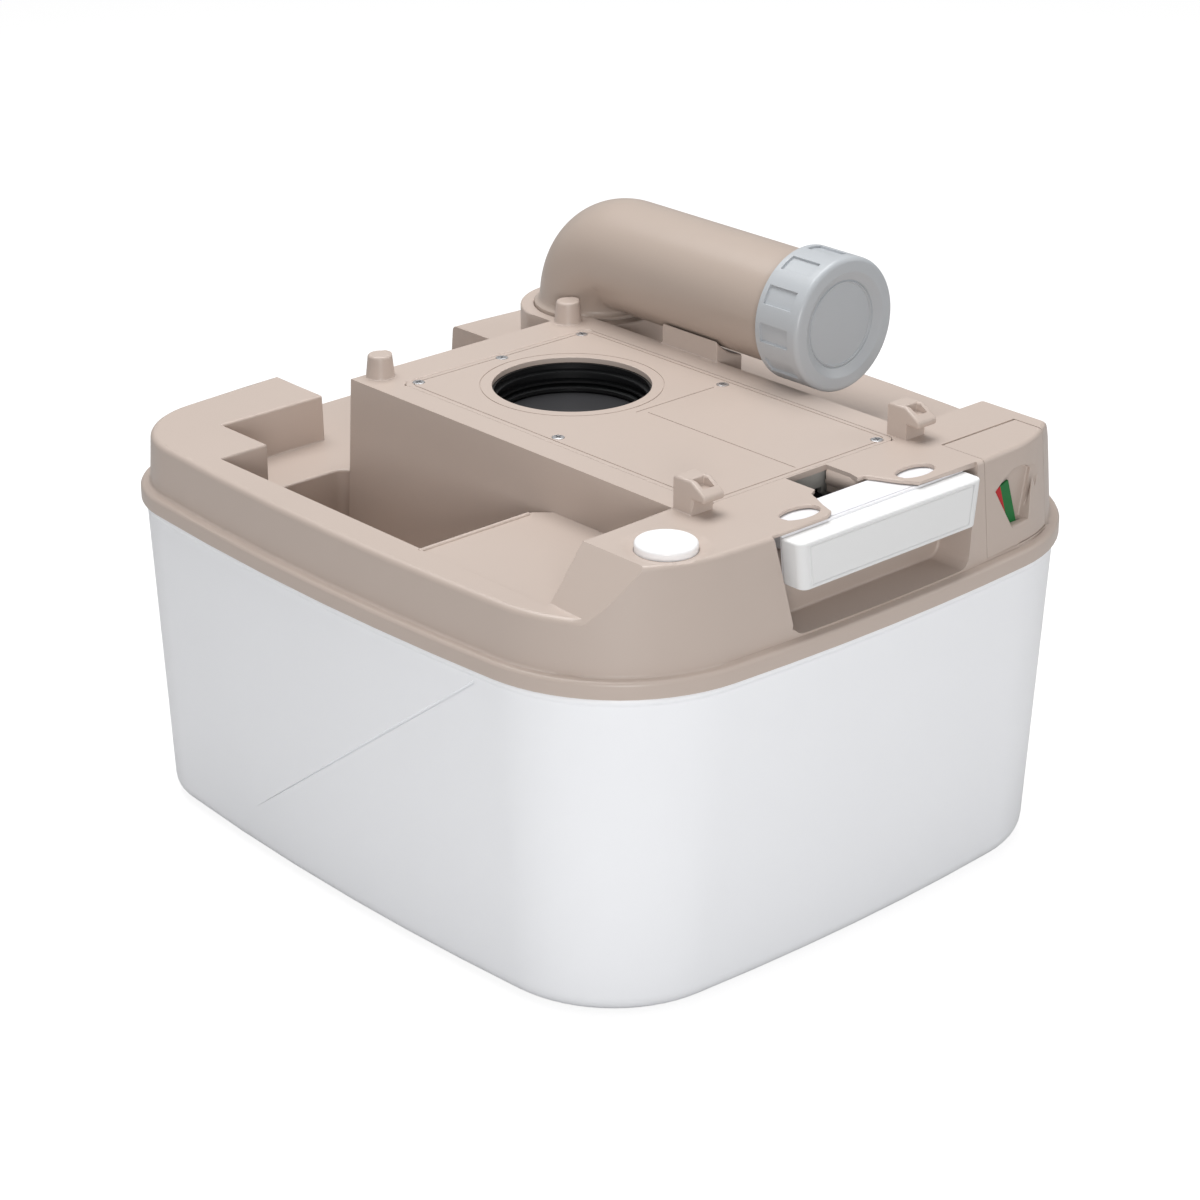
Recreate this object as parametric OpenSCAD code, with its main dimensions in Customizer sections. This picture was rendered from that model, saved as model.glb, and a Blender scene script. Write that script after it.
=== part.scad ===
// Waste-holding tank half of a portable toilet. Millimetres, +Z up.
// Origin: centre of the bottom of the bounding box; -Y is the pull-handle side.

/* [Outline] */
// overall width over the cover flange
body_w = 365; // [300:1:450]
// overall depth over the cover flange
body_d = 402.5; // [330:0.5:500]
// corner radius of the flange on the handle side
front_corner_r = 84.5; // [40:0.5:110]
// corner radius of the flange at the back
back_corner_r = 56.4; // [30:0.2:90]
// bow radius of the front and back edges
end_bow_r = 1396; // [700:1:4000]
// bow radius of the two long sides
side_bow_r = 1629; // [700:1:4000]
// shrink of the tub's half width from rim to base
base_in_x = 11.15; // [4:0.05:20]
// shrink of the tub's front from rim to base
base_in_front = 13.65; // [4:0.05:20]
// shrink of the tub's back from rim to base
base_in_back = 10.55; // [4:0.05:20]
// shrink of the tub's front corner radius from rim to base
base_in_front_r = 16.2; // [4:0.1:30]
// shrink of the tub's back corner radius from rim to base
base_in_back_r = 13.4; // [4:0.1:30]

/* [Levels] */
// height of the tub's rim and of the flange's underside
rim_z = 168.5; // [120:0.5:260]
// height of the cover flange
flange_h = 8.4; // [5:0.1:16]
// height of the deck that the upper half rests on
top_z = 228.5; // [190:0.5:320]
// drop from the top deck to the rails
rail_drop = 25.2; // [10:0.1:40]
// drop from the top deck to the low back deck
low_drop = 50.5; // [35:0.5:55]
// drop from the top deck to the floor of the well
well_drop = 98.5; // [60:0.5:130]
// drop of the hump deck below the rails
hump_drop = 0.8; // [0:0.1:4]

/* [Walls] */
// wall of the tub
tub_wall = 3.2; // [2:0.1:6]
// width of the styling groove on the tub's side at the rim
swoosh_w = 2; // [1:0.1:5]
// front end of the styling groove, as a share of the half depth
swoosh_front_share = 0.52; // [0.3:0.01:0.55]
// back end of the styling groove, as a share of the half depth
swoosh_back_share = 0.39; // [0.1:0.01:0.6]
// upper end of the styling groove, as a share of the rim's height
swoosh_high_share = 0.956; // [0.7:0.001:0.96]
// lower end of the styling groove, as a share of the rim's height
swoosh_low_share = 0.147; // [0.1:0.001:0.6]
// depth of the styling groove
swoosh_d = 0.9; // [0.3:0.1:1.5]
// wall of the cover
wall = 3; // [2:0.1:5]
// inset of the tub below the flange
tub_in = 3.8; // [2:0.1:8]
// inset of the tub's bead below the flange
bead_in = 2.6; // [1:0.1:5]
// height of the tub's bead
bead_h = 3.2; // [2:0.1:6]
// inner edge of the tub's rim, as an inset
rim_in = 11; // [8:0.1:20]
// rounding of the tub's bottom edge
base_r = 9.7; // [4:0.1:16]
// inset of the cover wall at the flange
shoulder_in = 5; // [3:0.1:10]
// inward lean of the cover wall for each unit of height
lean_share = 0.1; // [0:0.01:0.3]
// rounding of the cover's top edge
top_r = 2.4; // [0.5:0.1:5]
// rounding of the rails' outer edge
rail_r = 3.2; // [1:0.1:5]
// inset of the rim gasket
gasket_in = 4.8; // [4:0.1:8]
// width of the rim gasket
gasket_w = 4; // [2:0.1:6]
// height of the rim gasket
gasket_h = 3; // [2:0.1:5]

/* [Top deck] */
// distance of the plateau's side from the inlet's edge
plateau_side = 37.7; // [30:0.1:50]
// distance of the plateau's back edge behind the valve plate
plateau_behind = 22.9; // [14:0.1:30]
// depth of the front block from the front edge
block_d = 67.2; // [60:0.1:75]
// half width of the front block's top, as a share of the half width
block_share = 0.74; // [0.6:0.001:0.8]
// sideways run of the front block's slope for each unit of drop
slope_share = 0.786; // [0.2:0.01:1.2]
// edge distance between the valve plate and the plateau's side
plate_edge = 14.6; // [8:0.1:20]
// distance of the valve plate's front edge from the front edge
plate_in = 60.1; // [52:0.1:66]
// distance of the valve plate's back edge behind the inlet
plate_behind = 18; // [16:0.1:24]
// thickness of the valve plate
plate_t = 3; // [2:0.1:5]
// corner radius of the valve plate
plate_r = 5; // [2:0.1:10]
// ledge that the valve plate rests on
ledge = 2; // [1:0.1:5]
// width of the fine lines in the mouldings
line_w = 0.6; // [0.3:0.05:1]
// depth of the fine lines
line_d = 0.4; // [0.2:0.05:0.8]
// distance of the border line from the valve plate's edge
border_in = 3; // [2:0.1:4]
// distance of the ring line from the inlet's edge
ring_line = 5.8; // [4:0.1:8]

/* [Inlet] */
// distance of the inlet behind the origin
inlet_y = 23.2; // [0:0.1:60]
// radius of the inlet hole
inlet_r = 40.7; // [30:0.1:50]
// inward reach of the inlet seal
seal_lip = 3.1; // [2:0.1:6]
// number of ribs in the inlet seal
lip_n = 3; // [2:1:4]
// reach of a rib
lip_r = 2; // [1:0.1:3]
// foot of a rib, as a share of the pitch
lip_foot_share = 0.8; // [0.6:0.05:0.9]
// thickness of the blade
blade_t = 3; // [2:0.1:5]
// overlap of the blade's side beyond the inlet's edge
blade_side = 9.9; // [6:0.1:14]
// depth of the blade's top below the deck
blade_drop = 18.5; // [12:0.1:26]
// overlap of the closed blade behind the inlet
blade_behind = 7.6; // [4:0.1:10]
// overlap of the closed blade in front of the inlet
blade_ahead = 8.5; // [4:0.1:14]
// half width of the stem
stem_x = 14; // [8:0.5:24]

/* [Screws] */
// distance of the outer screws from the inlet's edge
screw_side = 15.2; // [14.4:0.1:17]
// distance of the rear screws from the plate's edge
screw_edge = 4.2; // [3.4:0.1:6]
// distance of the middle screws in front of the inlet's edge
screw_ahead = 11.5; // [8:0.1:30]
// distance of the front screws from the plate's edge
screw_front_edge = 5.4; // [4:0.1:8]
// radius of a screw's head
screw_head_r = 3.1; // [2:0.1:4]
// radius of a screw's shank
screw_r = 1.5; // [1:0.1:2]
// length of a screw
screw_len = 14; // [8:0.5:20]
// radius of a screw post
post_r = 3.4; // [3:0.1:3.8]

/* [Well and decks] */
// distance of the well's outer edge from the flange
well_in = 25.8; // [20:0.1:34]
// distance of the well's back edge from the back edge
well_end = 89.2; // [80:0.1:100]
// back edge of the hump deck
hump_back = -45; // [-80:0.5:-10]
// radius of the bead along the hump deck's back edge
bead_r = 1.2; // [0.6:0.1:2]
// length of the line beside the rail on the hump deck
hump_line = 24; // [10:1:40]
// corner radius of the well
well_r = 7; // [3:0.5:12]
// rounding of the hump deck's inner back corner
hump_r = 12; // [4:0.5:20]
// distance of the low deck's outer edge from the flange
low_in = 55.5; // [48:0.1:64]
// distance of the low deck's inner corner from the back edge
low_end = 50.7; // [44:0.1:58]
// distance of the back notch's side inside the plateau's side
notch_side = 16.35; // [12:0.05:24]
// distance of the low deck's step behind the plateau
low_step = 3.2; // [0.5:0.1:6]

/* [Pegs and hooks] */
// sideways distance of the two pegs
peg_x = 64.4; // [50:0.1:70]
// distance of the pegs behind the origin
peg_y = 98.1; // [90:0.1:100]
// radius of a peg at its foot
peg_foot_r = 7.6; // [5:0.1:9]
// radius of a peg at its top
peg_top_r = 6.2; // [4:0.1:8]
// height of a peg
peg_h = 12; // [8:0.1:20]
// distance of a hook's inner side from the valve plate
hook_side = 1.5; // [0.5:0.1:4]
// width of a hook
hook_w = 13.2; // [8:0.1:16]
// distance of a hook's back face from the front edge
hook_d = 67.6; // [60:0.1:74]
// height of a hook above the deck
hook_h = 16.5; // [10:0.1:24]
// length of a hook's flat top
hook_flat = 11; // [6:0.1:16]
// reach of a hook's nose
hook_reach = 20.4; // [14:0.1:26]
// length of a hook's post
hook_post = 12.4; // [8:0.1:16]
// drop of a hook's nose below its flat top
hook_nose = 5.7; // [3:0.1:8]
// drop of a hook's underside below its flat top
hook_under = 9; // [6:0.1:12]
// width of the pocket in a hook
pocket_w = 7; // [4:0.1:10]

/* [Vent button] */
// sideways place of the button, as a share of the half width
button_share = 0.61; // [0.55:0.001:0.68]
// distance of the button from the front edge
button_in = 37.7; // [34:0.1:44]
// radius of the button
button_r = 14.6; // [10:0.1:18]
// radius of the dish round the button
dish_r = 22; // [18:0.1:24]
// depth of the dish
dish_d = 1.6; // [0.5:0.1:3]
// height of the button above the deck
button_h = 2.6; // [1:0.1:5]
// height of the button's domed edge
dome_h = 1.6; // [0.8:0.1:2]
// wall of the button's skirt
skirt_t = 2; // [1:0.1:3]
// radius of an air hole in the vent sleeve
air_r = 1.5; // [1:0.1:2]
// room between the vent disc and the sleeve
disc_drop = 3; // [2.5:0.1:5]
// travel of the button
button_travel = 3.5; // [2:0.1:6]
// radius of the vent stem
vent_stem_r = 2.6; // [1.5:0.1:4]
// radius of the vent disc
vent_disc_r = 8; // [6:0.1:12]
// depth of the vent sleeve below the deck
sleeve_drop = 30; // [22:0.5:40]
// radius of the spring's wire
wire_r = 0.7; // [0.4:0.05:1.2]
// mean radius of the spring
coil_r = 7; // [5:0.1:10]
// number of the spring's curls
curls = 4; // [3:1:10]

/* [Pull handle] */
// half width of the handle recess at its floor, as a share of the half width
grip_foot_share = 0.3233; // [0.28:0.0001:0.34]
// half width of the handle recess at the deck, as a share of the half width
grip_top_share = 0.378; // [0.35:0.001:0.39]
// floor of the handle recess above the flange
grip_floor = 1.7; // [0.5:0.1:6]
// distance of the recess's inner wall from the front edge
grip_in = 27.2; // [24:0.1:32]
// rounding of the recess's lower corners
grip_r = 7; // [2:0.5:12]
// distance of the deck's lip above the recess from the front edge
lip_in = 13.6; // [11:0.1:18]
// thickness of the deck's lip above the recess
lip_t = 2; // [1.5:0.1:3]
// half width of the handle bar at its top, as a share of the half width
bar_top_share = 0.336; // [0.3:0.001:0.345]
// half width of the handle bar at its bottom, as a share of the half width
bar_foot_share = 0.323; // [0.3:0.001:0.345]
// distance of the handle bar's face from the front edge
bar_in = 2.2; // [1:0.1:6]
// depth of the handle bar
bar_t = 13.6; // [6:0.1:14]
// height of the handle bar
bar_h = 23; // [16:0.1:30]
// inset of the line round the bar's face
panel_in = 2.8; // [1.5:0.1:5]
// half width of the handle's body, as a share of the half width
carrier_share = 0.285; // [0.25:0.001:0.3]
// distance of the body's back edge from the front edge
carrier_in = 35.7; // [33:0.1:45]
// thickness of the handle's body
carrier_t = 12; // [6:0.5:14]
// half width of the window over the stem
window_x = 13.6; // [10:0.1:18]
// depth of the window's straight part
window_d = 22; // [15:0.5:26]
// half width of the window at the recess, as a share of the half width
ear_share = 0.162; // [0.15:0.001:0.2]
// drop of the guide wall beside the window
tab_drop = 14.2; // [8:0.1:14.4]
// radius of the guide wall's rolled top
roll_r = 6; // [3:0.1:7]
// sideways distance of the eye holes, as a share of the half width
eye_share = 0.2137; // [0.19:0.0001:0.24]
// width of an eye hole
eye_w = 18; // [12:0.5:22]
// depth of an eye hole
eye_d = 9; // [6:0.5:12]

/* [Level gauge] */
// left edge of the gauge insert, as a share of the half width
gauge_left_share = 0.4027; // [0.4:0.0001:0.44]
// right edge of the gauge insert, as a share of the half width
gauge_right_share = 0.6959; // [0.65:0.0001:0.72]
// depth of the gauge insert from the front edge
gauge_d = 39.8; // [36:0.1:48]
// sideways place of the gauge shaft, as a share of the half width
shaft_share = 0.559; // [0.54:0.001:0.58]
// drop of the gauge shaft below the deck
shaft_drop = 44.5; // [40:0.5:48]
// radius of the gauge shaft
shaft_r = 2.5; // [1.5:0.1:3.5]
// distance of the gauge flag from the front edge
vane_in = 14.2; // [14:0.1:18]
// thickness of the gauge flag
vane_t = 1.2; // [1:0.1:3]
// height of the flag above the shaft
flag_h = 29; // [20:0.5:34]
// radius of the flag's hub
hub_r = 4.6; // [4:0.1:6]
// lean of the flag to the left at rest
flag_lean = 17.8; // [0:0.1:30]
// width of the flag left of the shaft
flag_w = 15; // [10:0.5:20]
// width of the flag's foot left of the shaft
flag_foot = 3; // [2:0.1:4]
// height of the flag's lower clearance, as a share of the flag's height
flag_low_share = 0.74; // [0.6:0.01:0.8]
// reach of the flag right of the shaft
flag_right = 1.4; // [0:0.1:3]
// reach of the gauge window left of the shaft
view_left = 19.7; // [14:0.1:22]
// height of the gauge window's top above the shaft
view_high = 34.1; // [28:0.1:36]
// swing of the gauge
gauge_swing = 30; // [15:1:40]
// length of the float arm
arm_len = 75; // [50:1:90]
// angle of the float arm below level at rest
arm_a = 54; // [52:1:65]
// radius of the float
float_r = 20; // [12:0.5:28]
// length of the float
float_len = 42; // [25:1:60]
// distance of the float arm from the front edge
arm_in = 45.2; // [42:0.1:52]

/* [Spout] */
// sideways place of the swivel axis
spout_x = 101.7; // [90:0.1:110]
// distance of the swivel axis from the back edge
spout_in = 83.7; // [78:0.1:92]
// radius of the boss
boss_r = 40.9; // [36:0.1:46]
// drop of the boss below the deck
boss_drop = 2; // [0:0.1:6]
// depth of the collar
collar_h = 30; // [20:0.5:40]
// outer radius of the pipe
pipe_r = 30.3; // [24:0.1:34]
// wall of the pipe
pipe_wall = 3; // [2:0.1:5]
// bend radius of the elbow
bend_r = 30.7; // [30.4:0.1:50]
// height of the pipe's axis above the deck
pipe_rise = 31.2; // [30:0.1:50]
// front end of the pipe
pipe_end = -64.2; // [-90:0.1:-40]
// radius of the foot flange
foot_r = 33.2; // [31:0.1:38]
// rounding where the pipe meets its foot flange
fillet_r = 2.8; // [1:0.1:3]
// thickness of the foot flange
foot_t = 1.8; // [1:0.1:4]
// radius of the retainer below the collar
retainer_r = 36.5; // [34:0.1:42]
// thickness of the retainer
retainer_t = 5; // [3:0.1:8]
// section radius of the spout's sealing ring
ring_r = 1.5; // [1:0.1:2.5]

/* [Cap] */
// outer radius of the cap
cap_r = 35.2; // [32:0.1:40]
// length of the cap
cap_len = 29.5; // [20:0.1:40]
// thickness of the cap's end
cap_t = 3.5; // [2:0.1:6]
// radius of the recess in the cap's end
cap_dish_r = 22; // [15:0.1:28]
// depth of the recess in the cap's end
cap_dish_d = 2.7; // [1:0.1:3]
// rounding of the cap's front edge
cap_edge = 4; // [1:0.1:5]
// width of the sloped ring round the recess
cap_ring = 4.4; // [2:0.1:6]
// depth of the step round the recess
cap_step = 1.4; // [0.5:0.1:2]
// number of grip recesses
grip_n = 11; // [6:1:20]
// start angle of the first grip recess
grip_a = 11.5; // [0:0.5:30]
// depth of a grip recess
grip_d = 1.3; // [0.4:0.1:2]
// length of a grip recess
grip_len = 19; // [10:0.5:24]
// bare collar behind the grip recesses
grip_back = 3.5; // [0:0.1:8]
// thickness of the cap's washer
washer_t = 1.8; // [1:0.1:4]
// travel of the cap in its two turns
cap_travel = 24; // [12:1:30]

/* [Cradle] */
// distance of the cradle's left side inside the plateau's side
cradle_in = 1.4; // [0:0.1:3]
// width of the cradle
cradle_w = 19; // [10:0.5:25]
// front face of the cradle
cradle_y = -3; // [-20:0.5:10]
// length of the cradle
cradle_len = 41; // [20:0.5:60]
// height of the cradle above the deck
cradle_h = 12; // [6:0.5:20]
// gap between the cradle and the pipe
cradle_gap = 1.2; // [0.5:0.1:3]

/* [Fits] */
// gap between pieces that move past each other
run_gap = 0.3; // [0.2:0.05:0.6]
// gap between seated pieces
seat_gap = 0.1; // [0.05:0.05:0.3]
// running gap of a shaft
shaft_gap = 0.05; // [0.02:0.01:0.1]
// joint line round an inset piece
line_gap = 0.3; // [0.2:0.05:1]

/* [Hidden] */
half_w = body_w / 2;
half_d = body_d / 2;
rail_z = top_z - rail_drop;
low_z = top_z - low_drop;
well_z = top_z - well_drop;
hump_z = rail_z - hump_drop;
plateau_x = inlet_r + plateau_side;
plate_back = inlet_y + inlet_r + plate_behind;
plate_front = plate_in - half_d;
plateau_back = plate_back + plateau_behind;
block_y = block_d - half_d;
block_x = half_w * block_share;
seal_r = inlet_r - seal_lip;
blade_x = inlet_r + blade_side;
blade_back = inlet_y + inlet_r + blade_behind;
blade_front = inlet_y - inlet_r - blade_ahead;
screw_x = inlet_r + screw_side;
screw_back = plate_back - screw_edge;
screw_mid = inlet_y - inlet_r - screw_ahead;
screw_front = plate_front + screw_front_edge;
well_out = half_w - well_in;
well_back = half_d - well_end;
low_out = half_w - low_in;
low_back = half_d - low_end;
low_front = plateau_back + low_step;
notch_x = plateau_x - notch_side;
hook_y = hook_d - half_d;
button_x = -half_w * button_share;
button_y = button_in - half_d;
grip_foot_x = half_w * grip_foot_share;
grip_top_x = half_w * grip_top_share;
grip_in_y = grip_in - half_d;
lip_y = lip_in - half_d;
bar_top_x = half_w * bar_top_share;
bar_foot_x = half_w * bar_foot_share;
bar_y = bar_in - half_d;
carrier_x = half_w * carrier_share;
carrier_back = carrier_in - half_d;
window_ear = half_w * ear_share;
eye_x = half_w * eye_share;
gauge_left = half_w * gauge_left_share;
gauge_right = half_w * gauge_right_share;
gauge_back = gauge_d - half_d;
shaft_x = half_w * shaft_share;
vane_y = vane_in - half_d;
arm_y = arm_in - half_d;
spout_y = half_d - spout_in;
cradle_x = plateau_x - cradle_in;
flange_z = rim_z + flange_h;
blade_z = top_z - blade_drop;
pipe_z = top_z + pipe_rise;
boss_z = top_z - boss_drop;
shaft_z = top_z - shaft_drop;
plate_x = plateau_x - plate_edge;
hook_in = plate_x + hook_side;
tray_x = plate_x - ledge;
plate_low = top_z - plate_t;
bar_z = top_z - lip_t;
web_x = stem_x + wall;
bar_top = bar_z - run_gap;
seal_out = inlet_r + 2 * wall;
tray_low = blade_z - blade_t - 2 * wall;
sleeve_r = button_r + run_gap + skirt_t;
disc_z = top_z - sleeve_drop - wall - disc_drop;
over = 2;
big = 600;
fine = 72;
fan_n = 14;
n_bow = 3;
n_corner = 15;
n_q = 2 * n_bow + n_corner;
rim_shape = [half_w, half_d, half_d, front_corner_r, back_corner_r, end_bow_r, side_bow_r];
base_shape = rim_shape - [base_in_x, base_in_front, base_in_back, base_in_front_r, base_in_back_r,
                          base_in_front, base_in_x];

function arc_pts(c, r, a0, a1, n) =
    [for (i = [0 : n - 1]) let(a = a0 + (a1 - a0) * i / n) [c[0] + r * cos(a), c[1] + r * sin(a)]];

function quad_pts(a, b, r, re, rs, d) =
    let(e = [0, re - b], s = [a - rs, 0], p = re - r, q = rs - r,
        g = norm(s - e), u = (s - e) / g,
        t = (p * p - q * q + g * g) / (2 * g), h = sqrt(p * p - t * t),
        c = e + t * u + h * [-u[1], u[0]],
        ae = atan2(c[1] - e[1], c[0] - e[0]), as = atan2(c[1] - s[1], c[0] - s[0]))
    concat(arc_pts(e, re - d, -90, ae, n_bow), arc_pts(c, r - d, ae, as, n_corner),
           arc_pts(s, rs - d, as, 0, n_bow), [[a - d, 0]]);

function ring_pts(m, d) =
    let(f = quad_pts(m[0], m[1], m[3], m[5], m[6], d),
        k = quad_pts(m[0], m[2], m[4], m[5], m[6], d))
    concat([for (i = [0 : n_q - 1]) f[i]],
           [for (i = [n_q : -1 : 1]) [k[i][0], -k[i][1]]],
           [for (i = [0 : n_q - 1]) [-k[i][0], -k[i][1]]],
           [for (i = [n_q : -1 : 1]) [-f[i][0], f[i][1]]]);

function tub_shape(z) = base_shape + (rim_shape - base_shape) * z / rim_z;
function wall_in(z) = shoulder_in + lean_share * (z - flange_z);

// closed skin through rings of [height, outline, inset]
module loft(rings) {
    n = 4 * n_q;
    m = len(rings);
    pts = [for (g = rings) for (p = ring_pts(g[1], g[2])) [p[0], p[1], g[0]]];
    sides = [for (j = [0 : m - 2]) for (i = [0 : n - 1]) let(k = (i + 1) % n)
             for (f = [[j * n + i, (j + 1) * n + i, (j + 1) * n + k],
                       [j * n + i, (j + 1) * n + k, j * n + k]]) f];
    polyhedron(points = pts,
               faces = concat([[for (i = [0 : n - 1]) i]],
                              [[for (i = [n - 1 : -1 : 0]) (m - 1) * n + i]], sides));
}

module slab(x0, x1, y0, y1, z0, z1) {
    translate([x0, y0, z0]) cube([x1 - x0, y1 - y0, z1 - z0]);
}

module round_slab(x0, x1, y0, y1, z0, z1, r) {
    translate([x0, y0, z0]) linear_extrude(height = z1 - z0) {
        translate([r, 0]) square([x1 - x0 - 2 * r, y1 - y0]);
        translate([0, r]) square([x1 - x0, y1 - y0 - 2 * r]);
        for (x = [r, x1 - x0 - r]) for (y = [r, y1 - y0 - r])
            translate([x, y]) circle(r = r, $fn = fine);
    }
}

module tube(r, bore, h) {
    difference() {
        cylinder(r = r, h = h, $fn = fine);
        translate([0, 0, -over]) cylinder(r = bore, h = h + 2 * over, $fn = fine);
    }
}

// profile in x and z, drawn from y0 back to y1
module side_prism(pts, y0, y1) {
    translate([0, y1, 0]) rotate([90, 0, 0]) linear_extrude(height = y1 - y0) polygon(pts);
}

// tub with a rounded bottom edge, a bead and an inward rim
module tank_tub() {
    bead_z = rim_z - bead_h;
    steps = 6;
    color([0.87, 0.87, 0.89]) difference() {
        loft(concat(
            [for (i = [0 : steps]) let(a = 90 * i / steps)
                [base_r * (1 - cos(a)), tub_shape(0), base_r * (1 - sin(a))]],
            [[bead_z - bead_in / 2, tub_shape(rim_z), tub_in],
             [bead_z, tub_shape(rim_z), bead_in],
             [rim_z - bead_in / 2, tub_shape(rim_z), bead_in],
             [rim_z - seat_gap, tub_shape(rim_z), tub_in]]));
        loft([[tub_wall, tub_shape(0), base_r],
              [base_r, tub_shape(0), tub_wall],
              [bead_z - rim_in, tub_shape(rim_z), tub_in + tub_wall],
              [bead_z, tub_shape(rim_z), rim_in],
              [rim_z + over, tub_shape(rim_z), rim_in]]);
        // tapering groove on the left side
        difference() {
            translate([-half_w, 0, 0]) rotate([90, 0, 90]) linear_extrude(height = half_w / 4)
                polygon([[-half_d * swoosh_front_share, rim_z * swoosh_high_share + swoosh_w / 2],
                         [-half_d * swoosh_front_share, rim_z * swoosh_high_share - swoosh_w / 2],
                         [half_d * swoosh_back_share, rim_z * swoosh_low_share]]);
            loft([[base_r, tub_shape(0), swoosh_d],
                  [bead_z - bead_in / 2, tub_shape(rim_z), tub_in + swoosh_d]]);
        }
    }
}

// outside of the cover up to the rails, with a rounded upper edge
module rail_blank() {
    steps = 4;
    loft(concat([[rim_z, rim_shape, lean_share],
                 [rim_z + 2 * lean_share, rim_shape, 0],
                 [flange_z - over, rim_shape, 0],
                 [flange_z - over / 3, rim_shape, over / 3],
                 [flange_z, rim_shape, over],
                 [flange_z + 2 * lean_share, rim_shape, shoulder_in]],
                [for (i = [0 : steps]) let(a = 90 * i / steps)
                    [rail_z - rail_r * (1 - sin(a)), rim_shape,
                     wall_in(rail_z - rail_r) + rail_r * (1 - cos(a))]]));
}

// outside of the cover from the rails to the deck
module top_blank() {
    steps = 3;
    loft(concat([[rail_z - rail_r, rim_shape, wall_in(rail_z - rail_r)]],
                [for (i = [0 : steps]) let(a = 90 * i / steps)
                    [top_z - top_r * (1 - sin(a)), rim_shape, wall_in(top_z - top_r) + top_r * (1 - cos(a))]]));
}

module cover_hollow() {
    loft([[rim_z - over, rim_shape, rim_in],
          [flange_z, rim_shape, rim_in],
          [flange_z + wall, rim_shape, wall_in(flange_z) + wall],
          [top_z - wall, rim_shape, wall_in(top_z) + wall]]);
}

// bound of the liners, half way into the cover's wall
module liner_bound() {
    loft([[low_z - 2 * wall, rim_shape, wall_in(low_z) + wall / 2],
          [low_z, rim_shape, wall_in(low_z) + wall / 2],
          [top_z, rim_shape, wall_in(top_z) + wall / 2]]);
}

function block_pts(d, z0, z1) =
    let(x0 = block_x - d + slope_share * (top_z - z0), x1 = block_x - d - slope_share * (z1 - top_z))
    [[-x0, z0], [x0, z0], [x1, z1], [-x1, z1]];

module low_deck_plan(d) {
    polygon([[-low_out - d, low_front - d], [-low_out - d, low_back + d], [-notch_x - d, low_back + d],
             [-notch_x - d, half_d + over], [notch_x + d, half_d + over], [notch_x + d, plateau_back - d],
             [-plateau_x - d, plateau_back - d], [-plateau_x - d, low_front - d]]);
}

function grip_pts(d, z0, z1) =
    let(g = flange_z + grip_floor, k = (grip_top_x - grip_foot_x) / (top_z - g),
        x0 = grip_foot_x + d + k * (z0 - g), x1 = grip_foot_x + d + k * (z1 - g))
    [[-x0, z0], [x0, z0], [x1, z1], [-x1, z1]];

// the recess between two heights, with rounded lower corners
function grip_round_pts(z0, z1) =
    let(k = (grip_top_x - grip_foot_x) / (top_z - z0), t = atan(k),
        c = grip_foot_x - grip_r * (1 - sin(t)) / cos(t), x1 = grip_foot_x + k * (z1 - z0), n = 6,
        q = [for (i = [0 : n]) let(a = -90 + (90 - t) * i / n)
             [c + grip_r * cos(a), z0 + grip_r + grip_r * sin(a)]])
    concat(q, [[x1, z1], [-x1, z1]], [for (i = [n : -1 : 0]) [-q[i][0], q[i][1]]]);

// opening in the deck over the stem, which widens towards the recess
module window_plan() {
    y0 = plate_front - ledge / 2;
    y1 = y0 - window_d;
    ear = window_ear;
    polygon([[-window_x, y0], [window_x, y0], [window_x, y1 + 2 * wall], [window_x - wall / 2, y1],
             [window_x + wall, y1], [window_x + 2 * wall, y1 - 2 * wall], [ear - 2 * wall, lip_y + 3 * wall],
             [ear, lip_y], [ear + wall, lip_y - 2 * wall], [-ear - 3 * wall, lip_y - 2 * wall],
             [-ear - wall, lip_y], [-ear + wall, lip_y + wall], [-ear + 2 * wall, lip_y + 4 * wall],
             [-window_x - 2 * wall, y1 - wall], [-window_x - 2 * wall, y1], [-window_x, y1 + wall]]);
}

module cover_outside() {
    rail_blank();
    intersection() {
        top_blank();
        union() {
            side_prism(block_pts(0, rail_z - 2 * wall, top_z + over), -half_d - over, block_y);
            slab(-plateau_x, plateau_x, block_y - over, plateau_back, rail_z - 2 * wall, top_z + over);
            translate([spout_x, spout_y, rail_z - 2 * wall])
                cylinder(r = boss_r, h = boss_z - rail_z + 2 * wall, $fn = fine);
        }
    }
}

module cover_cavity() {
    intersection() {
        cover_hollow();
        union() {
            slab(-half_w, half_w, -half_d, half_d, rim_z - 2 * over, rail_z - wall);
            side_prism(block_pts(wall, rail_z - 2 * wall, top_z - wall), -half_d, block_y - wall);
            slab(wall - plateau_x, plateau_x - wall, block_y - 2 * wall, plateau_back - wall,
                 rail_z - 2 * wall, top_z - 2 * plate_t);
        }
    }
}

module cover_liners() {
    intersection() {
        liner_bound();
        union() {
            translate([0, 0, low_z - wall]) linear_extrude(height = rail_z - low_z + wall / 2)
                low_deck_plan(wall);
            side_prism(grip_pts(wall, flange_z + grip_floor - wall, top_z - wall / 2),
                       -half_d, grip_in_y + wall);
        }
    }
    slab(-well_out - wall, wall - plateau_x, hump_back - hump_r - wall, well_back + wall,
         well_z - wall, rail_z - wall / 2);
    translate([spout_x, spout_y, boss_z - collar_h])
        cylinder(r = pipe_r + 2 * wall, h = collar_h - over, $fn = fine);
}

module hook() {
    side = [[0, -wall / 2], [0, hook_h], [-hook_flat, hook_h], [-hook_reach, hook_h - hook_nose],
            [-hook_reach, hook_h - hook_under], [-hook_post, hook_h - hook_under], [-hook_post, -wall / 2]];
    difference() {
        translate([0, 0, 0]) rotate([90, 0, 90]) linear_extrude(height = hook_w) polygon(side);
        translate([(hook_w - pocket_w) / 2, pocket_w - wall - hook_reach, hook_h - hook_nose + over / 2])
            cube([pocket_w, pocket_w, hook_h]);
    }
}

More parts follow.
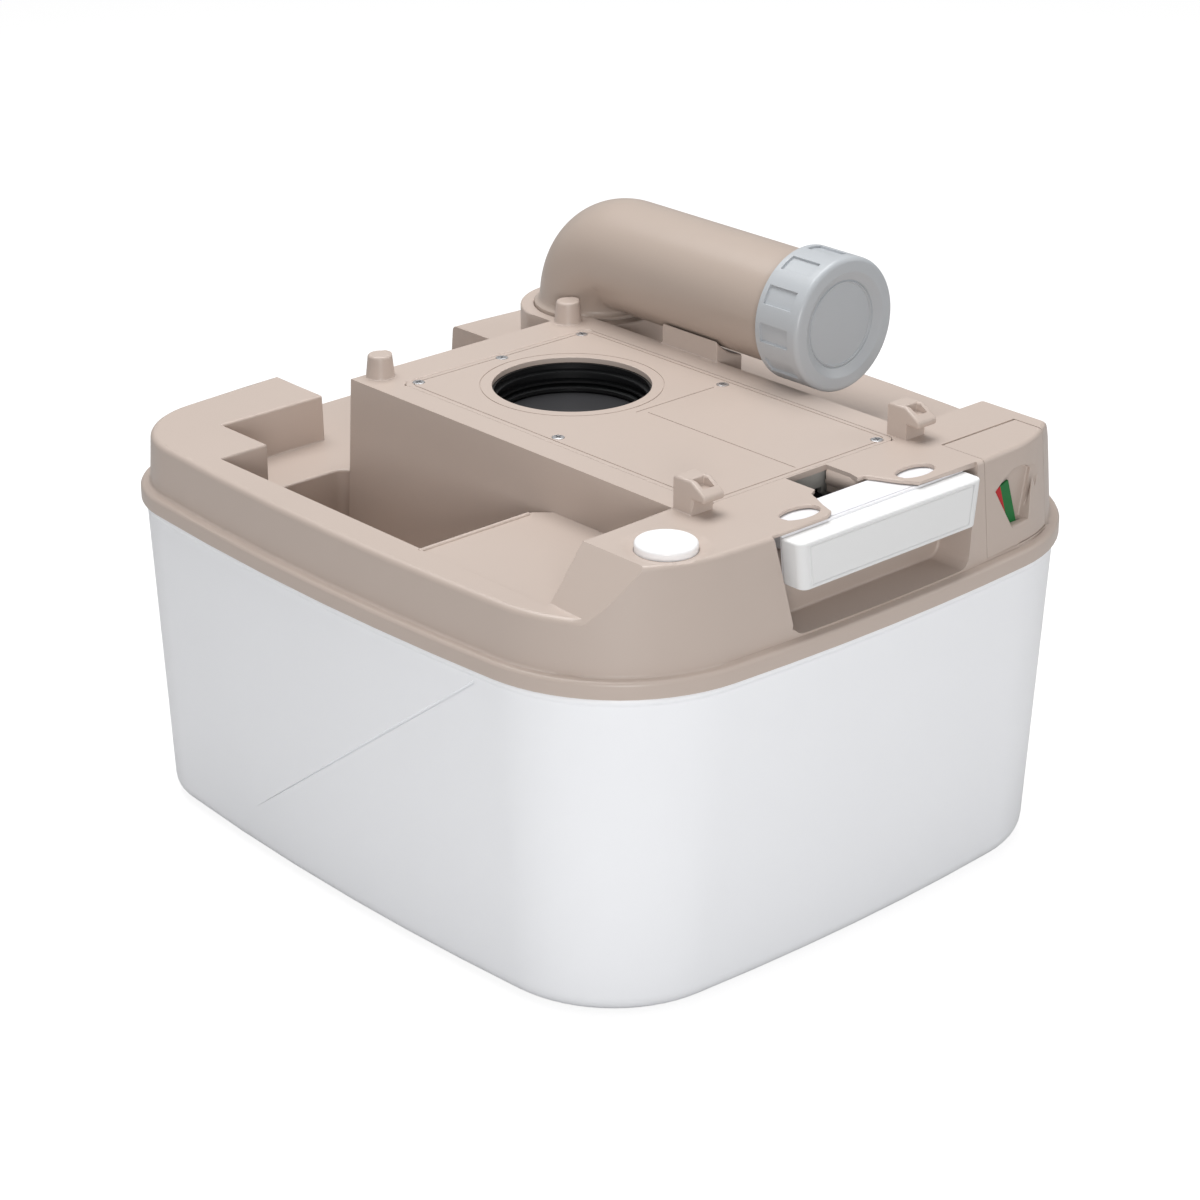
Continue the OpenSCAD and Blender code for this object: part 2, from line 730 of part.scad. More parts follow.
// cover moulding with its decks, well, pegs, hooks, boss and cradle
module tank_cover() {
    color([0.72, 0.65, 0.60]) {
        difference() {
            union() {
                difference() {
                    cover_outside();
                    cover_cavity();
                }
                cover_liners();
            }
            // well, hump step and low deck
            round_slab(-well_out, -plateau_x, hump_back, well_back, well_z, top_z, well_r);
            slab(-well_out, -plateau_x, hump_back + well_r, well_back, low_z, top_z);
            slab(-well_out, -plateau_x, block_y, hump_back + 2 * well_r, hump_z, top_z);
            translate([-plateau_x - hump_r, hump_back - hump_r, well_z])
                linear_extrude(height = top_z - well_z) difference() {
                    square([hump_r, hump_r + well_r]);
                    circle(r = hump_r, $fn = fine);
                }
            translate([0, 0, low_z]) linear_extrude(height = top_z) low_deck_plan(0);
            // line beside the rail
            slab(-well_out - line_w, -well_out, hump_back - 2 * bead_r - hump_line, hump_back - 2 * bead_r,
                 hump_z - line_d, rail_z + over);
            // valve plate seat
            round_slab(-plate_x, plate_x, plate_front, plate_back, plate_low, top_z + over, plate_r);
            slab(-tray_x, tray_x, plate_front + ledge, plate_back - ledge, low_z, top_z);
            for (p = screw_spots()) translate([p[0], p[1], low_z])
                cylinder(r = post_r + run_gap, h = top_z - low_z, $fn = fine);
            // handle recess, body slot, window and eye holes
            side_prism(grip_round_pts(flange_z + grip_floor, bar_z), -half_d - over, grip_in_y);
            side_prism(grip_pts(0, bar_z - 2 * wall, top_z + over), -half_d - over, lip_y);
            slab(-carrier_x - over, carrier_x + over, grip_in_y - over, carrier_back + 3 * over,
                 bar_z - carrier_t - over, bar_z);
            slab(-web_x - 2 * run_gap, web_x + 2 * run_gap, grip_in_y - over, carrier_back + 3 * over,
                 blade_z - blade_t - wall - 2 * run_gap, bar_z);
            translate([0, 0, bar_z - over]) linear_extrude(height = 3 * wall) window_plan();
            for (s = [-1, 1]) translate([s * eye_x, grip_in_y - over, bar_z - over])
                linear_extrude(height = 3 * wall) {
                    square([eye_w - eye_d, eye_d], center = true);
                    for (t = [-1, 1]) translate([t * (eye_w - eye_d) / 2, 0])
                        circle(d = eye_d, $fn = fine);
                }
            // gauge insert bay
            slab(gauge_left, gauge_right, -half_d - over, gauge_back, flange_z + over, top_z + over);
            // vent button and its dish
            translate([button_x, button_y, top_z - dish_d])
                cylinder(r1 = button_r + 2 * run_gap, r2 = dish_r, h = dish_d, $fn = fine);
            translate([button_x, button_y, top_z - 2 * wall])
                cylinder(r = button_r + run_gap, h = 3 * wall, $fn = fine);
            // spout collar bore
            translate([spout_x, spout_y, boss_z - collar_h - over])
                cylinder(r = pipe_r + run_gap, h = collar_h + 2 * over, $fn = fine);
            translate([spout_x, spout_y, boss_z - foot_t])
                cylinder(r = foot_r + run_gap, h = foot_t + boss_drop + over, $fn = fine);
            // groove for the rim gasket
            difference() {
                loft([[rim_z - over, rim_shape, gasket_in], [rim_z + gasket_h, rim_shape, gasket_in]]);
                loft([[rim_z - 2 * over, rim_shape, gasket_in + gasket_w],
                      [rim_z + gasket_h + over, rim_shape, gasket_in + gasket_w]]);
            }
        }
        // guide wall beside the window, rolled over at its top
        translate([window_x, plate_front - window_d, 0]) {
            slab(0, wall, 0, window_d - ledge, top_z - tab_drop, top_z - wall / 2);
            translate([roll_r - wall / 2, window_d - ledge, top_z - roll_r]) rotate([90, 0, 0])
                cylinder(r = roll_r, h = window_d - ledge, $fn = fine);
        }
        // bead along the hump deck's back edge
        translate([-well_out - wall / 2, hump_back - bead_r, hump_z]) rotate([0, 90, 0])
            cylinder(r = bead_r, h = well_out - plateau_x - hump_r + wall / 2, $fn = fine / 3);
        for (s = [-1, 1]) translate([s * peg_x, peg_y, top_z - wall / 2])
            cylinder(r1 = peg_foot_r, r2 = peg_top_r, h = peg_h + wall / 2, $fn = fine);
        translate([hook_in, hook_y, top_z]) hook();
        translate([-hook_in - hook_w, hook_y, top_z]) hook();
        difference() {
            slab(cradle_x, cradle_x + cradle_w, cradle_y, cradle_y + cradle_len, rail_z - wall / 2,
                 top_z + cradle_h);
            translate([spout_x, cradle_y + cradle_len + over, pipe_z]) rotate([90, 0, 0])
                cylinder(r = pipe_r + cradle_gap, h = cradle_len + 2 * over, $fn = fine);
        }
    }
}

// seal between the tub and the cover
module rim_gasket() {
    color([0.15, 0.15, 0.15]) difference() {
        loft([[rim_z - seat_gap / 2, rim_shape, gasket_in + seat_gap],
              [rim_z + gasket_h - seat_gap, rim_shape, gasket_in + seat_gap]]);
        loft([[rim_z - over, rim_shape, gasket_in + gasket_w - seat_gap],
              [rim_z + gasket_h + over, rim_shape, gasket_in + gasket_w - seat_gap]]);
    }
}

function screw_spots() =
    concat([for (x = [-1, 0, 1]) [x * screw_x, screw_back]],
           [for (x = [-1, 1]) [x * screw_x, screw_mid]], [for (x = [-1, 1]) [x * screw_x, screw_front]]);

// inset plate with the inlet hole
module valve_plate() {
    color([0.74, 0.68, 0.63]) difference() {
        round_slab(-plate_x + line_gap, plate_x - line_gap, plate_front + line_gap, plate_back - line_gap,
                   plate_low + seat_gap, top_z, plate_r - line_gap);
        translate([0, inlet_y, plate_low - over]) cylinder(r = inlet_r, h = 3 * plate_t, $fn = fine);
        // border line, ring line and panel lines
        difference() {
            round_slab(-plate_x + border_in, plate_x - border_in, plate_front + border_in, plate_back - border_in,
                       top_z - line_d, top_z + over, plate_r);
            round_slab(-plate_x + border_in + line_w, plate_x - border_in - line_w,
                       plate_front + border_in + line_w, plate_back - border_in - line_w,
                       top_z - 2 * line_d, top_z + 2 * over, plate_r - line_w);
        }
        translate([0, inlet_y, top_z - line_d]) tube(inlet_r + ring_line + line_w, inlet_r + ring_line, over);
        slab(-line_w / 2, line_w / 2, plate_front + 2 * border_in, screw_mid - screw_edge,
             top_z - line_d, top_z + over);
        slab(-screw_edge, screw_x - 2 * screw_head_r, screw_mid - line_w / 2, screw_mid + line_w / 2,
             top_z - line_d, top_z + over);
        for (p = screw_spots()) translate([p[0], p[1], plate_low - over]) {
            cylinder(r = screw_r + seat_gap, h = 3 * plate_t, $fn = fine);
            translate([0, 0, over + plate_t - screw_r])
                cylinder(r = screw_head_r + seat_gap, h = plate_t, $fn = fine);
        }
    }
}

// seven countersunk screws
module plate_screws() {
    color([0.8, 0.8, 0.8]) for (p = screw_spots()) translate([p[0], p[1], 0]) difference() {
        union() {
            translate([0, 0, top_z - screw_r + seat_gap / 2])
                cylinder(r = screw_head_r, h = screw_r - seat_gap, $fn = fine);
            translate([0, 0, top_z - screw_len]) cylinder(r = screw_r, h = screw_len - screw_r / 2, $fn = fine);
        }
        for (a = [0, 90]) translate([0, 0, top_z - screw_r / 2]) rotate([0, 0, a])
            slab(-screw_r, screw_r, -screw_r / 4, screw_r / 4, 0, over);
    }
}

// tray below the plate that guides the blade
module valve_tray() {
    tray_y0 = plate_front + ledge + line_gap;
    tray_y1 = plate_back - ledge - line_gap;
    color([0.8, 0.79, 0.77]) difference() {
        union() {
            difference() {
                slab(-tray_x + line_gap, tray_x - line_gap, tray_y0, tray_y1, tray_low, plate_low);
                slab(-tray_x + wall, tray_x - wall, tray_y0 + wall, tray_y1 - wall, tray_low + wall, top_z);
            }
            for (s = [-1, 1]) {
                slab(s > 0 ? blade_x - 2 * wall : wall / 2 - tray_x, s > 0 ? tray_x - wall / 2 : 2 * wall - blade_x,
                     tray_y0 + wall / 2, tray_y1 - wall / 2, tray_low + wall / 2, blade_z + 2 * wall);
            }
            for (p = screw_spots()) translate([p[0], p[1], tray_low + wall / 2])
                cylinder(r = post_r, h = plate_low - tray_low - wall / 2, $fn = fine);
            translate([0, inlet_y, blade_z + wall])
                cylinder(r = seal_out + wall, h = plate_low - blade_z - wall, $fn = fine);
            translate([0, inlet_y, tray_low]) cylinder(r = seal_out, h = wall * 3 / 2, $fn = fine);
        }
        // channel of the blade
        slab(-blade_x - run_gap, blade_x + run_gap, -half_d, screw_back - post_r - run_gap,
             blade_z - blade_t - run_gap, blade_z + run_gap);
        slab(-stem_x - 2 * run_gap, stem_x + 2 * run_gap, tray_y0 - over, tray_y0 + 2 * wall,
             blade_z - blade_t - run_gap, blade_z + 2 * wall);
        // seat of the inlet seal and the drop opening
        translate([0, inlet_y, blade_z]) cylinder(r = seal_out, h = plate_t + blade_drop, $fn = fine);
        translate([0, inlet_y, tray_low - over]) cylinder(r = seal_r, h = blade_drop, $fn = fine);
        translate([0, inlet_y, tray_low + wall]) cylinder(r = inlet_r + wall, h = blade_drop / 2, $fn = fine);
        for (p = screw_spots()) translate([p[0], p[1], top_z - screw_len - over])
            cylinder(r = screw_r + seat_gap, h = screw_len, $fn = fine);
    }
}

// ribbed rubber seal of the inlet
module inlet_seal() {
    z0 = blade_z + seat_gap;
    h = plate_low - z0;
    rib = h / lip_n;
    out = inlet_r + lip_r / 2;
    color([0.12, 0.12, 0.12]) translate([0, inlet_y, z0]) rotate_extrude($fn = fine)
        polygon(concat([[seal_r + lip_r, 0], [seal_out - seat_gap, 0], [seal_out - seat_gap, h],
                        [inlet_r - lip_r / 2, h]],
                       [for (i = [lip_n - 1 : -1 : 1])
                        each [[out, (i + lip_foot_share) * rib], [out, (i + 1 / 3) * rib],
                              [inlet_r - lip_r, (i + 1 / 6) * rib], [inlet_r - lip_r, i * rib]]],
                       [[out, rib * lip_foot_share], [seal_r, rib / 2], [seal_r, rib / 6]]));
}

// seal below the blade
module blade_seal() {
    color([0.12, 0.12, 0.12]) translate([0, inlet_y, tray_low + wall + seat_gap])
        tube(inlet_r + wall - seat_gap, seal_r + seat_gap, wall - 2 * seat_gap);
}

// sliding blade with its stem
module valve_blade() {
    color([0.18, 0.18, 0.19]) {
        round_slab(-blade_x, blade_x, blade_front, blade_back, blade_z - blade_t, blade_z, 2 * wall);
        slab(-stem_x, stem_x, carrier_back - wall, blade_front + wall, blade_z - blade_t, blade_z);
        for (s = [-1, 1]) slab(s > 0 ? stem_x - wall / 2 : -stem_x, s > 0 ? stem_x : wall / 2 - stem_x,
                               carrier_back - wall, blade_front - 2 * wall, blade_z - blade_t, blade_z + wall);
    }
}

function bar_pts(d) =
    [[d - bar_foot_x, bar_top - bar_h + d], [bar_foot_x - d, bar_top - bar_h + d],
     [bar_top_x - d, bar_top - d], [d - bar_top_x, bar_top - d]];

// handle bar and the body that carries it
module pull_handle() {
    bar_back = bar_y + bar_t;
    body_low = bar_top - carrier_t;
    color([0.96, 0.96, 0.97]) difference() {
        union() {
            side_prism(bar_pts(0), bar_y, bar_back);
            slab(-carrier_x, carrier_x, bar_back - over, carrier_back, body_low, bar_top);
            slab(-web_x, web_x, grip_in_y, carrier_back, blade_z - blade_t - wall, body_low + over);
        }
        // line of the lettering place, which stays bare
        difference() {
            side_prism(bar_pts(panel_in), bar_y - over, bar_y + line_d);
            side_prism(bar_pts(panel_in + line_w), bar_y - 2 * over, bar_y + over);
        }
        // line between the bar and the body
        slab(-carrier_x - over, carrier_x + over, bar_back, bar_back + line_w, bar_top - over, bar_top + over);
        // hollow of the body and the socket of the stem
        slab(-carrier_x + wall, carrier_x - wall, bar_back + over, carrier_back - wall,
             body_low - over, bar_top - wall);
        slab(-stem_x - seat_gap, stem_x + seat_gap, grip_in_y + wall, carrier_back + over,
             blade_z - blade_t - seat_gap, blade_z + wall + seat_gap);
    }
}

// button with its domed edge
module vent_button() {
    rim = top_z + button_h - dome_h;
    steps = 6;
    color([0.98, 0.98, 0.98]) translate([button_x, button_y, 0]) difference() {
        rotate_extrude($fn = fine)
            polygon(concat([[0, top_z - 2 * wall], [button_r, top_z - 2 * wall]],
                           [for (i = [0 : steps]) let(a = 90 * i / steps)
                            [button_r - dome_h * (1 - cos(a)), rim + dome_h * sin(a)]],
                           [[0, rim + dome_h]]));
        translate([0, 0, top_z - 2 * wall - over]) tube(button_r - skirt_t, coil_r - skirt_t, wall + over);
    }
}

// stem and disc of the vent
module vent_stem() {
    color([0.9, 0.9, 0.9]) translate([button_x, button_y, 0]) {
        translate([0, 0, disc_z])
            cylinder(r = vent_stem_r, h = top_z - 2 * wall - disc_z - seat_gap, $fn = fine);
        translate([0, 0, disc_z - over]) cylinder(r = vent_disc_r, h = over, $fn = fine);
    }
}

// rubber washer on the vent disc
module vent_seal() {
    color([0.12, 0.12, 0.12]) translate([button_x, button_y, disc_z + seat_gap / 2])
        tube(vent_disc_r, vent_stem_r + seat_gap / 2, disc_drop - run_gap);
}

// sleeve that guides the button and holds the spring
module vent_sleeve() {
    color([0.8, 0.79, 0.77]) translate([button_x, button_y, top_z - sleeve_drop - wall]) difference() {
        cylinder(r = sleeve_r, h = sleeve_drop - seat_gap, $fn = fine);
        translate([0, 0, wall]) cylinder(r = button_r + run_gap, h = sleeve_drop + over, $fn = fine);
        translate([0, 0, -over]) cylinder(r = vent_stem_r + run_gap, h = 2 * wall, $fn = fine);
        for (a = [45 : 90 : 315]) rotate([0, 0, a]) translate([coil_r + 2 * air_r, 0, -over])
            cylinder(r = air_r, h = 2 * wall, $fn = fine);
    }
}

// spring under the button
module vent_spring() {
    z0 = top_z - sleeve_drop + wire_r + seat_gap;
    z1 = top_z - wall - wire_r - seat_gap;
    nk = 8;
    ns = 6;
    n = curls * nk;
    pts = [for (i = [0 : n]) let(a = 360 * i / nk, z = z0 + (z1 - z0) * i / n)
           for (j = [0 : ns - 1]) let(b = 360 * j / ns, r = coil_r + wire_r * cos(b))
           [r * cos(a), r * sin(a), z + wire_r * sin(b)]];
    least = (z1 - z0) / curls - 2 * wire_r;
    echo(least_spring_gap = least);
    color([0.7, 0.7, 0.72]) translate([button_x, button_y, 0])
        polyhedron(points = pts,
                   faces = concat([[for (j = [0 : ns - 1]) j]],
                                  [[for (j = [ns - 1 : -1 : 0]) n * ns + j]],
                                  [for (i = [0 : n - 1]) for (j = [0 : ns - 1]) let(k = (j + 1) % ns)
                                   for (f = [[i * ns + j, (i + 1) * ns + j, (i + 1) * ns + k],
                                             [i * ns + j, (i + 1) * ns + k, i * ns + k]]) f]));
}

function fan_pts(r0, r1, a0, a1, n) =
    concat([for (i = [0 : n]) let(a = a0 + (a1 - a0) * i / n) [-r1 * sin(a), r1 * cos(a)]],
           [for (i = [n : -1 : 0]) let(a = a0 + (a1 - a0) * i / n) [-r0 * sin(a), r0 * cos(a)]]);

// plan in x and z round the gauge shaft, drawn from y0 back to y1
module shaft_prism(pts, y0, y1) {
    translate([shaft_x, y1, shaft_z]) rotate([90, 0, 0]) linear_extrude(height = y1 - y0) polygon(pts);
}

module shaft_rod(r, y0, y1) {
    translate([shaft_x, y1, shaft_z]) rotate([90, 0, 0]) cylinder(r = r, h = y1 - y0, $fn = fine);
}

// outline of the gauge window as shares of its reach and height
view_x_shares = [0.518, 0.305, 0.046, -0.325, -0.756, -1, -0.396, 0.284];
view_z_shares = [0.868, 0.956, 1, 1, 0.88, 0.765, 0.152, 0.152];
// insert at the front corner with the gauge window
module gauge_housing() {
    far = norm([flag_w, flag_h]) + 2 * run_gap;
    lean = flag_lean + atan(flag_w / flag_h) + 3;
    low = flag_lean - gauge_swing - asin(flag_right / hub_r) - 3;
    foot_a = asin(flag_foot / hub_r) + 20;
    color([0.72, 0.65, 0.60]) difference() {
        intersection() {
            union() {
                rail_blank();
                top_blank();
            }
            slab(gauge_left + line_gap, gauge_right - line_gap, -half_d, gauge_back - line_gap,
                 flange_z + over + seat_gap, top_z + over);
        }
        shaft_prism([for (i = [0 : len(view_x_shares) - 1])
                     [view_left * view_x_shares[i], view_high * view_z_shares[i]]],
                    -half_d - over, vane_y + vane_t + run_gap + over);
        shaft_prism(fan_pts(0, far, low, lean, fan_n), vane_y - run_gap, vane_y + vane_t + run_gap);
        shaft_prism(fan_pts(0, flag_h * flag_low_share, lean - 3, flag_lean + foot_a, fan_n),
                    vane_y - run_gap, vane_y + vane_t + run_gap);
        shaft_rod(hub_r + 2 * run_gap, vane_y - run_gap, vane_y + vane_t + run_gap);
        shaft_rod(shaft_r + shaft_gap, vane_y - wall, gauge_back + over);
        slab(gauge_left + 2 * wall, gauge_right - 2 * wall, vane_y + 5 * wall, gauge_back + over,
             flange_z, top_z - wall);
    }
}

// gauge flag, green beside red
module gauge_vane() {
    color([0.08, 0.37, 0.21]) difference() {
        union() {
            translate([shaft_x, vane_y + vane_t, shaft_z]) rotate([90, -flag_lean, 0])
                linear_extrude(height = vane_t)
                    polygon([[flag_right, 0], [flag_right, flag_h], [-flag_w, flag_h], [-flag_foot, 0]]);
            shaft_rod(hub_r, vane_y, vane_y + vane_t);
        }
        shaft_rod(shaft_r + shaft_gap, vane_y - over, vane_y + vane_t + over);
    }
}

// shaft of the gauge
module gauge_shaft() {
    color([0.75, 0.75, 0.77]) shaft_rod(shaft_r, vane_y, arm_y + 2 * wall);
}

// arm that carries the float
module gauge_arm() {
    color([0.9, 0.9, 0.88]) difference() {
        union() {
            shaft_rod(2 * shaft_r, arm_y, arm_y + wall);
            translate([shaft_x, arm_y, shaft_z]) rotate([0, 180 - arm_a, 0])
                slab(0, arm_len - float_r + wall / 2, 0, wall, -wall, wall);
        }
        shaft_rod(shaft_r + shaft_gap, arm_y - over, arm_y + 2 * wall);
    }
}

// float of the gauge
module gauge_float() {
    color([0.92, 0.92, 0.9]) difference() {
        translate([shaft_x - arm_len * cos(arm_a), arm_y + float_len / 2 + wall / 2,
                   shaft_z - arm_len * sin(arm_a)])
            rotate([90, 0, 0]) cylinder(r = float_r, h = float_len, $fn = fine);
        translate([shaft_x, arm_y - seat_gap / 2, shaft_z]) rotate([0, 180 - arm_a, 0])
            slab(0, arm_len - float_r + wall / 2 + seat_gap / 2, 0, wall + seat_gap, -wall - seat_gap / 2,
                 wall + seat_gap / 2);
    }
}

module spout_solid(r) {
    translate([spout_x, spout_y, 0]) {
        translate([0, 0, boss_z - collar_h - retainer_t - over])
            cylinder(r = r, h = pipe_z - bend_r - boss_z + collar_h + retainer_t + over, $fn = fine);
        translate([0, -bend_r, pipe_z - bend_r]) rotate([90, 0, 90])
            rotate_extrude(angle = 90, $fn = fine) translate([bend_r, 0]) circle(r = r, $fn = fine);
        translate([0, -bend_r, pipe_z]) rotate([90, 0, 0])
            cylinder(r = r, h = spout_y - bend_r - pipe_end, $fn = fine);
    }
}

// pour-out elbow
module spout_elbow() {
    color([0.72, 0.65, 0.60]) difference() {
        union() {
            spout_solid(pipe_r);
            translate([spout_x, spout_y, boss_z - foot_t + run_gap])
                cylinder(r = foot_r, h = foot_t + wall / 2, $fn = fine);
            translate([spout_x, spout_y, boss_z + wall / 2]) rotate_extrude($fn = fine)
                polygon([[pipe_r - pipe_wall / 2, -wall / 3], [pipe_r + fillet_r, -wall / 3],
                         [pipe_r + fillet_r, run_gap + seat_gap], [pipe_r + fillet_r / 3, fillet_r / 2],
                         [pipe_r - pipe_wall / 2, 2 * fillet_r]]);
        }
        spout_solid(pipe_r - pipe_wall);
        translate([spout_x, spout_y, boss_z - collar_h - retainer_t - 2 * over])
            cylinder(r = pipe_r - pipe_wall, h = 2 * over, $fn = fine);
        translate([spout_x, pipe_end + over, pipe_z]) rotate([90, 0, 0])
            cylinder(r = pipe_r - pipe_wall, h = 2 * over, $fn = fine);
        translate([spout_x, spout_y, boss_z - collar_h / 2 - ring_r])
            tube(pipe_r + over, pipe_r - ring_r, 2 * ring_r);
        translate([spout_x, spout_y, boss_z - collar_h - retainer_t - seat_gap - run_gap])
            tube(pipe_r + over, pipe_r - ring_r, retainer_t + seat_gap);
    }
}

// sealing ring in the elbow's groove
module spout_ring() {
    color([0.12, 0.12, 0.12]) translate([spout_x, spout_y, boss_z - collar_h / 2])
        rotate_extrude($fn = fine) translate([pipe_r + seat_gap / 2 - ring_r / 2, 0])
            square([ring_r - seat_gap, 2 * ring_r - 2 * seat_gap], center = true);
}

// ring that keeps the elbow in its collar
module spout_retainer() {
    color([0.8, 0.79, 0.77]) translate([spout_x, spout_y, boss_z - collar_h - retainer_t - run_gap])
        tube(retainer_r, pipe_r - ring_r + seat_gap / 2, retainer_t - seat_gap);
}

module along_pipe(y) {
    translate([spout_x, y, pipe_z]) rotate([90, 0, 0]) children();
}

// screw cap with grip recesses
module spout_cap() {
    front = pipe_end - washer_t - 2 * seat_gap - cap_t;
    step = 360 / grip_n;
    steps = 6;
    color([0.63, 0.64, 0.66]) difference() {
        along_pipe(front + cap_len) rotate_extrude($fn = fine)
            polygon(concat([[0, 0], [cap_r - wall / 4, 0], [cap_r, wall / 4]],
                           [for (i = [0 : steps]) let(a = 90 * i / steps)
                            [cap_r - cap_edge * (1 - cos(a)), cap_len - cap_edge * (1 - sin(a))]],
                           [[cap_dish_r + cap_ring, cap_len], [cap_dish_r + cap_ring / 2, cap_len - cap_step],
                            [cap_dish_r, cap_len - cap_step], [cap_dish_r, cap_len - cap_dish_d],
                            [0, cap_len - cap_dish_d]]));
        along_pipe(front + cap_len + over)
            cylinder(r = pipe_r + run_gap, h = cap_len - cap_t + over, $fn = fine);
        along_pipe(front + cap_len - grip_back) for (i = [0 : grip_n - 1]) rotate([0, 0, i * step + grip_a])
            rotate_extrude(angle = step / 2, $fn = fine) translate([cap_r - grip_d, -grip_len])
                square([grip_d + over, grip_len]);
    }
}

// washer inside the cap
module cap_washer() {
    color([0.12, 0.12, 0.12]) along_pipe(pipe_end - seat_gap)
        tube(pipe_r - seat_gap, pipe_r - pipe_wall - over, washer_t);
}

tank_tub();
tank_cover();
rim_gasket();
valve_plate();
plate_screws();
valve_tray();
inlet_seal();
blade_seal();
valve_blade();
pull_handle();
vent_button();
vent_stem();
vent_seal();
vent_sleeve();
vent_spring();
gauge_housing();
gauge_vane();
gauge_shaft();
gauge_arm();
gauge_float();
spout_elbow();
spout_ring();
spout_retainer();
spout_cap();
cap_washer();
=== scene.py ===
import math

import bpy
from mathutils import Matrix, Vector
from mathutils.bvhtree import BVHTree
from mathutils.geometry import intersect_line_line_2d


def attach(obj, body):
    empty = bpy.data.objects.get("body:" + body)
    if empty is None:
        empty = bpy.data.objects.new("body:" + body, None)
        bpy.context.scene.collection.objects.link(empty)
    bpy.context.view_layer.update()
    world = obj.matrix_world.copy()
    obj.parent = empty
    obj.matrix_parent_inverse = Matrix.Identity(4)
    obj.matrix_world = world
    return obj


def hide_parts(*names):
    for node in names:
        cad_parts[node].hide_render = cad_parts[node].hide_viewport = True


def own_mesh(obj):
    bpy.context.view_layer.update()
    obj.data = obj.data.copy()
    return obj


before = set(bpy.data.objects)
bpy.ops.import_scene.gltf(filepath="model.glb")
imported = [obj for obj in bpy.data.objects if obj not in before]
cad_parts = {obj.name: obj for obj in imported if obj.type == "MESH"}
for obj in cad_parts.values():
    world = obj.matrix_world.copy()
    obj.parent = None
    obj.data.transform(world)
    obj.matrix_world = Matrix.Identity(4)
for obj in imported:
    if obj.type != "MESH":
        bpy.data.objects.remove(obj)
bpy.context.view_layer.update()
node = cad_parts
bpy.ops.object.select_all(action="DESELECT")

# Camera: the photograph looks down on the tank from its front left, with a long lens.
camera_place = (-1.00797, -1.10149, 0.77131)
camera_look = Vector((0.61754, 0.67614, -0.40185))
bpy.ops.object.camera_add(location=camera_place)
camera = bpy.context.active_object
camera.name = "photo_camera"
camera.rotation_mode = "QUATERNION"
camera.rotation_quaternion = camera_look.to_track_quat("-Z", "Y")
camera.data.sensor_width = 36.0
camera.data.lens = 94.555
camera.data.clip_start = 0.05
camera.data.clip_end = 50.0
bpy.context.scene.camera = camera

# Studio: a pale floor that fades to white for the camera and keeps a faint shadow,
# a white surround, and soft lamps above and to the sides of the tank.
bpy.context.scene.view_settings.view_transform = "Standard"
floor_bounce, floor_shade, floor_glow = 0.62, 0.30, 0.82
fill_light, backdrop_light = 0.35, 1.0


def shader(tree, kind, socket, value):
    """A new node of a tree, with one of its inputs set."""
    made = tree.nodes.new(kind)
    made.inputs[socket].default_value = value
    return made


def camera_switch(tree, output, others, seen):
    """Show one shader to the camera and the other to every other ray."""
    who = tree.nodes.new("ShaderNodeLightPath")
    pick = tree.nodes.new("ShaderNodeMixShader")
    out = tree.nodes.new(output)
    tree.links.new(who.outputs["Is Camera Ray"], pick.inputs[0])
    tree.links.new(others.outputs[0], pick.inputs[1])
    tree.links.new(seen.outputs[0], pick.inputs[2])
    tree.links.new(pick.outputs[0], out.inputs["Surface"])


bpy.ops.mesh.primitive_plane_add(size=12.0, location=(0, 0, -0.0005))
floor = bpy.context.active_object
floor.name = "studio_floor"
floor_skin = bpy.data.materials.new("studio_floor_white")
floor_skin.use_nodes = True
tree = floor_skin.node_tree
tree.nodes.clear()
bounce = shader(tree, "ShaderNodeBsdfDiffuse", "Color", (floor_bounce, floor_bounce, floor_bounce, 1))
matt = shader(tree, "ShaderNodeBsdfDiffuse", "Color", (floor_shade, floor_shade, floor_shade, 1))
glow = shader(tree, "ShaderNodeEmission", "Strength", floor_glow)
both = tree.nodes.new("ShaderNodeAddShader")
tree.links.new(matt.outputs[0], both.inputs[0])
tree.links.new(glow.outputs[0], both.inputs[1])
camera_switch(tree, "ShaderNodeOutputMaterial", bounce, both)
floor.data.materials.append(floor_skin)

world = bpy.data.worlds.new("studio_surround")
bpy.context.scene.world = world
world.use_nodes = True
tree = world.node_tree
tree.nodes.clear()
fill = shader(tree, "ShaderNodeBackground", "Strength", fill_light)
backdrop = shader(tree, "ShaderNodeBackground", "Strength", backdrop_light)
for ground in (fill, backdrop):
    ground.inputs["Color"].default_value = (1, 1, 1, 1)
camera_switch(tree, "ShaderNodeOutputWorld", fill, backdrop)


def softbox(name, place, aim, size, watts):
    """A square studio lamp at place that points at aim."""
    bpy.ops.object.light_add(type="AREA", location=place)
    lamp = bpy.context.active_object
    lamp.name = name
    lamp.data.size = size
    lamp.data.energy = watts
    lamp.rotation_mode = "QUATERNION"
    lamp.rotation_quaternion = (Vector(aim) - Vector(place)).to_track_quat("-Z", "Y")


softbox("lamp_top", (0.1, 0.3, 1.7), (0, 0, 0.2), 1.3, 25.5)
softbox("lamp_front_left", (-1.3, -1.6, 0.55), (0, 0, 0.1), 0.6, 15.5)
softbox("lamp_right", (1.7, -1.2, 1.1), (0, 0, 0.15), 1.0, 5)


# Tub: the lower half, blow-moulded in pale grey-white polyethylene with thick walls.
# It carries everything else; a tapering styling groove runs down its left side.


def paint(r, g, b):
    """A colour as it is read off a print, 0 to 255, as the shader wants it."""
    shares = (r / 255, g / 255, b / 255)
    return tuple(c / 12.92 if c <= 0.04045 else ((c + 0.055) / 1.055) ** 2.4 for c in shares) + (1.0,)


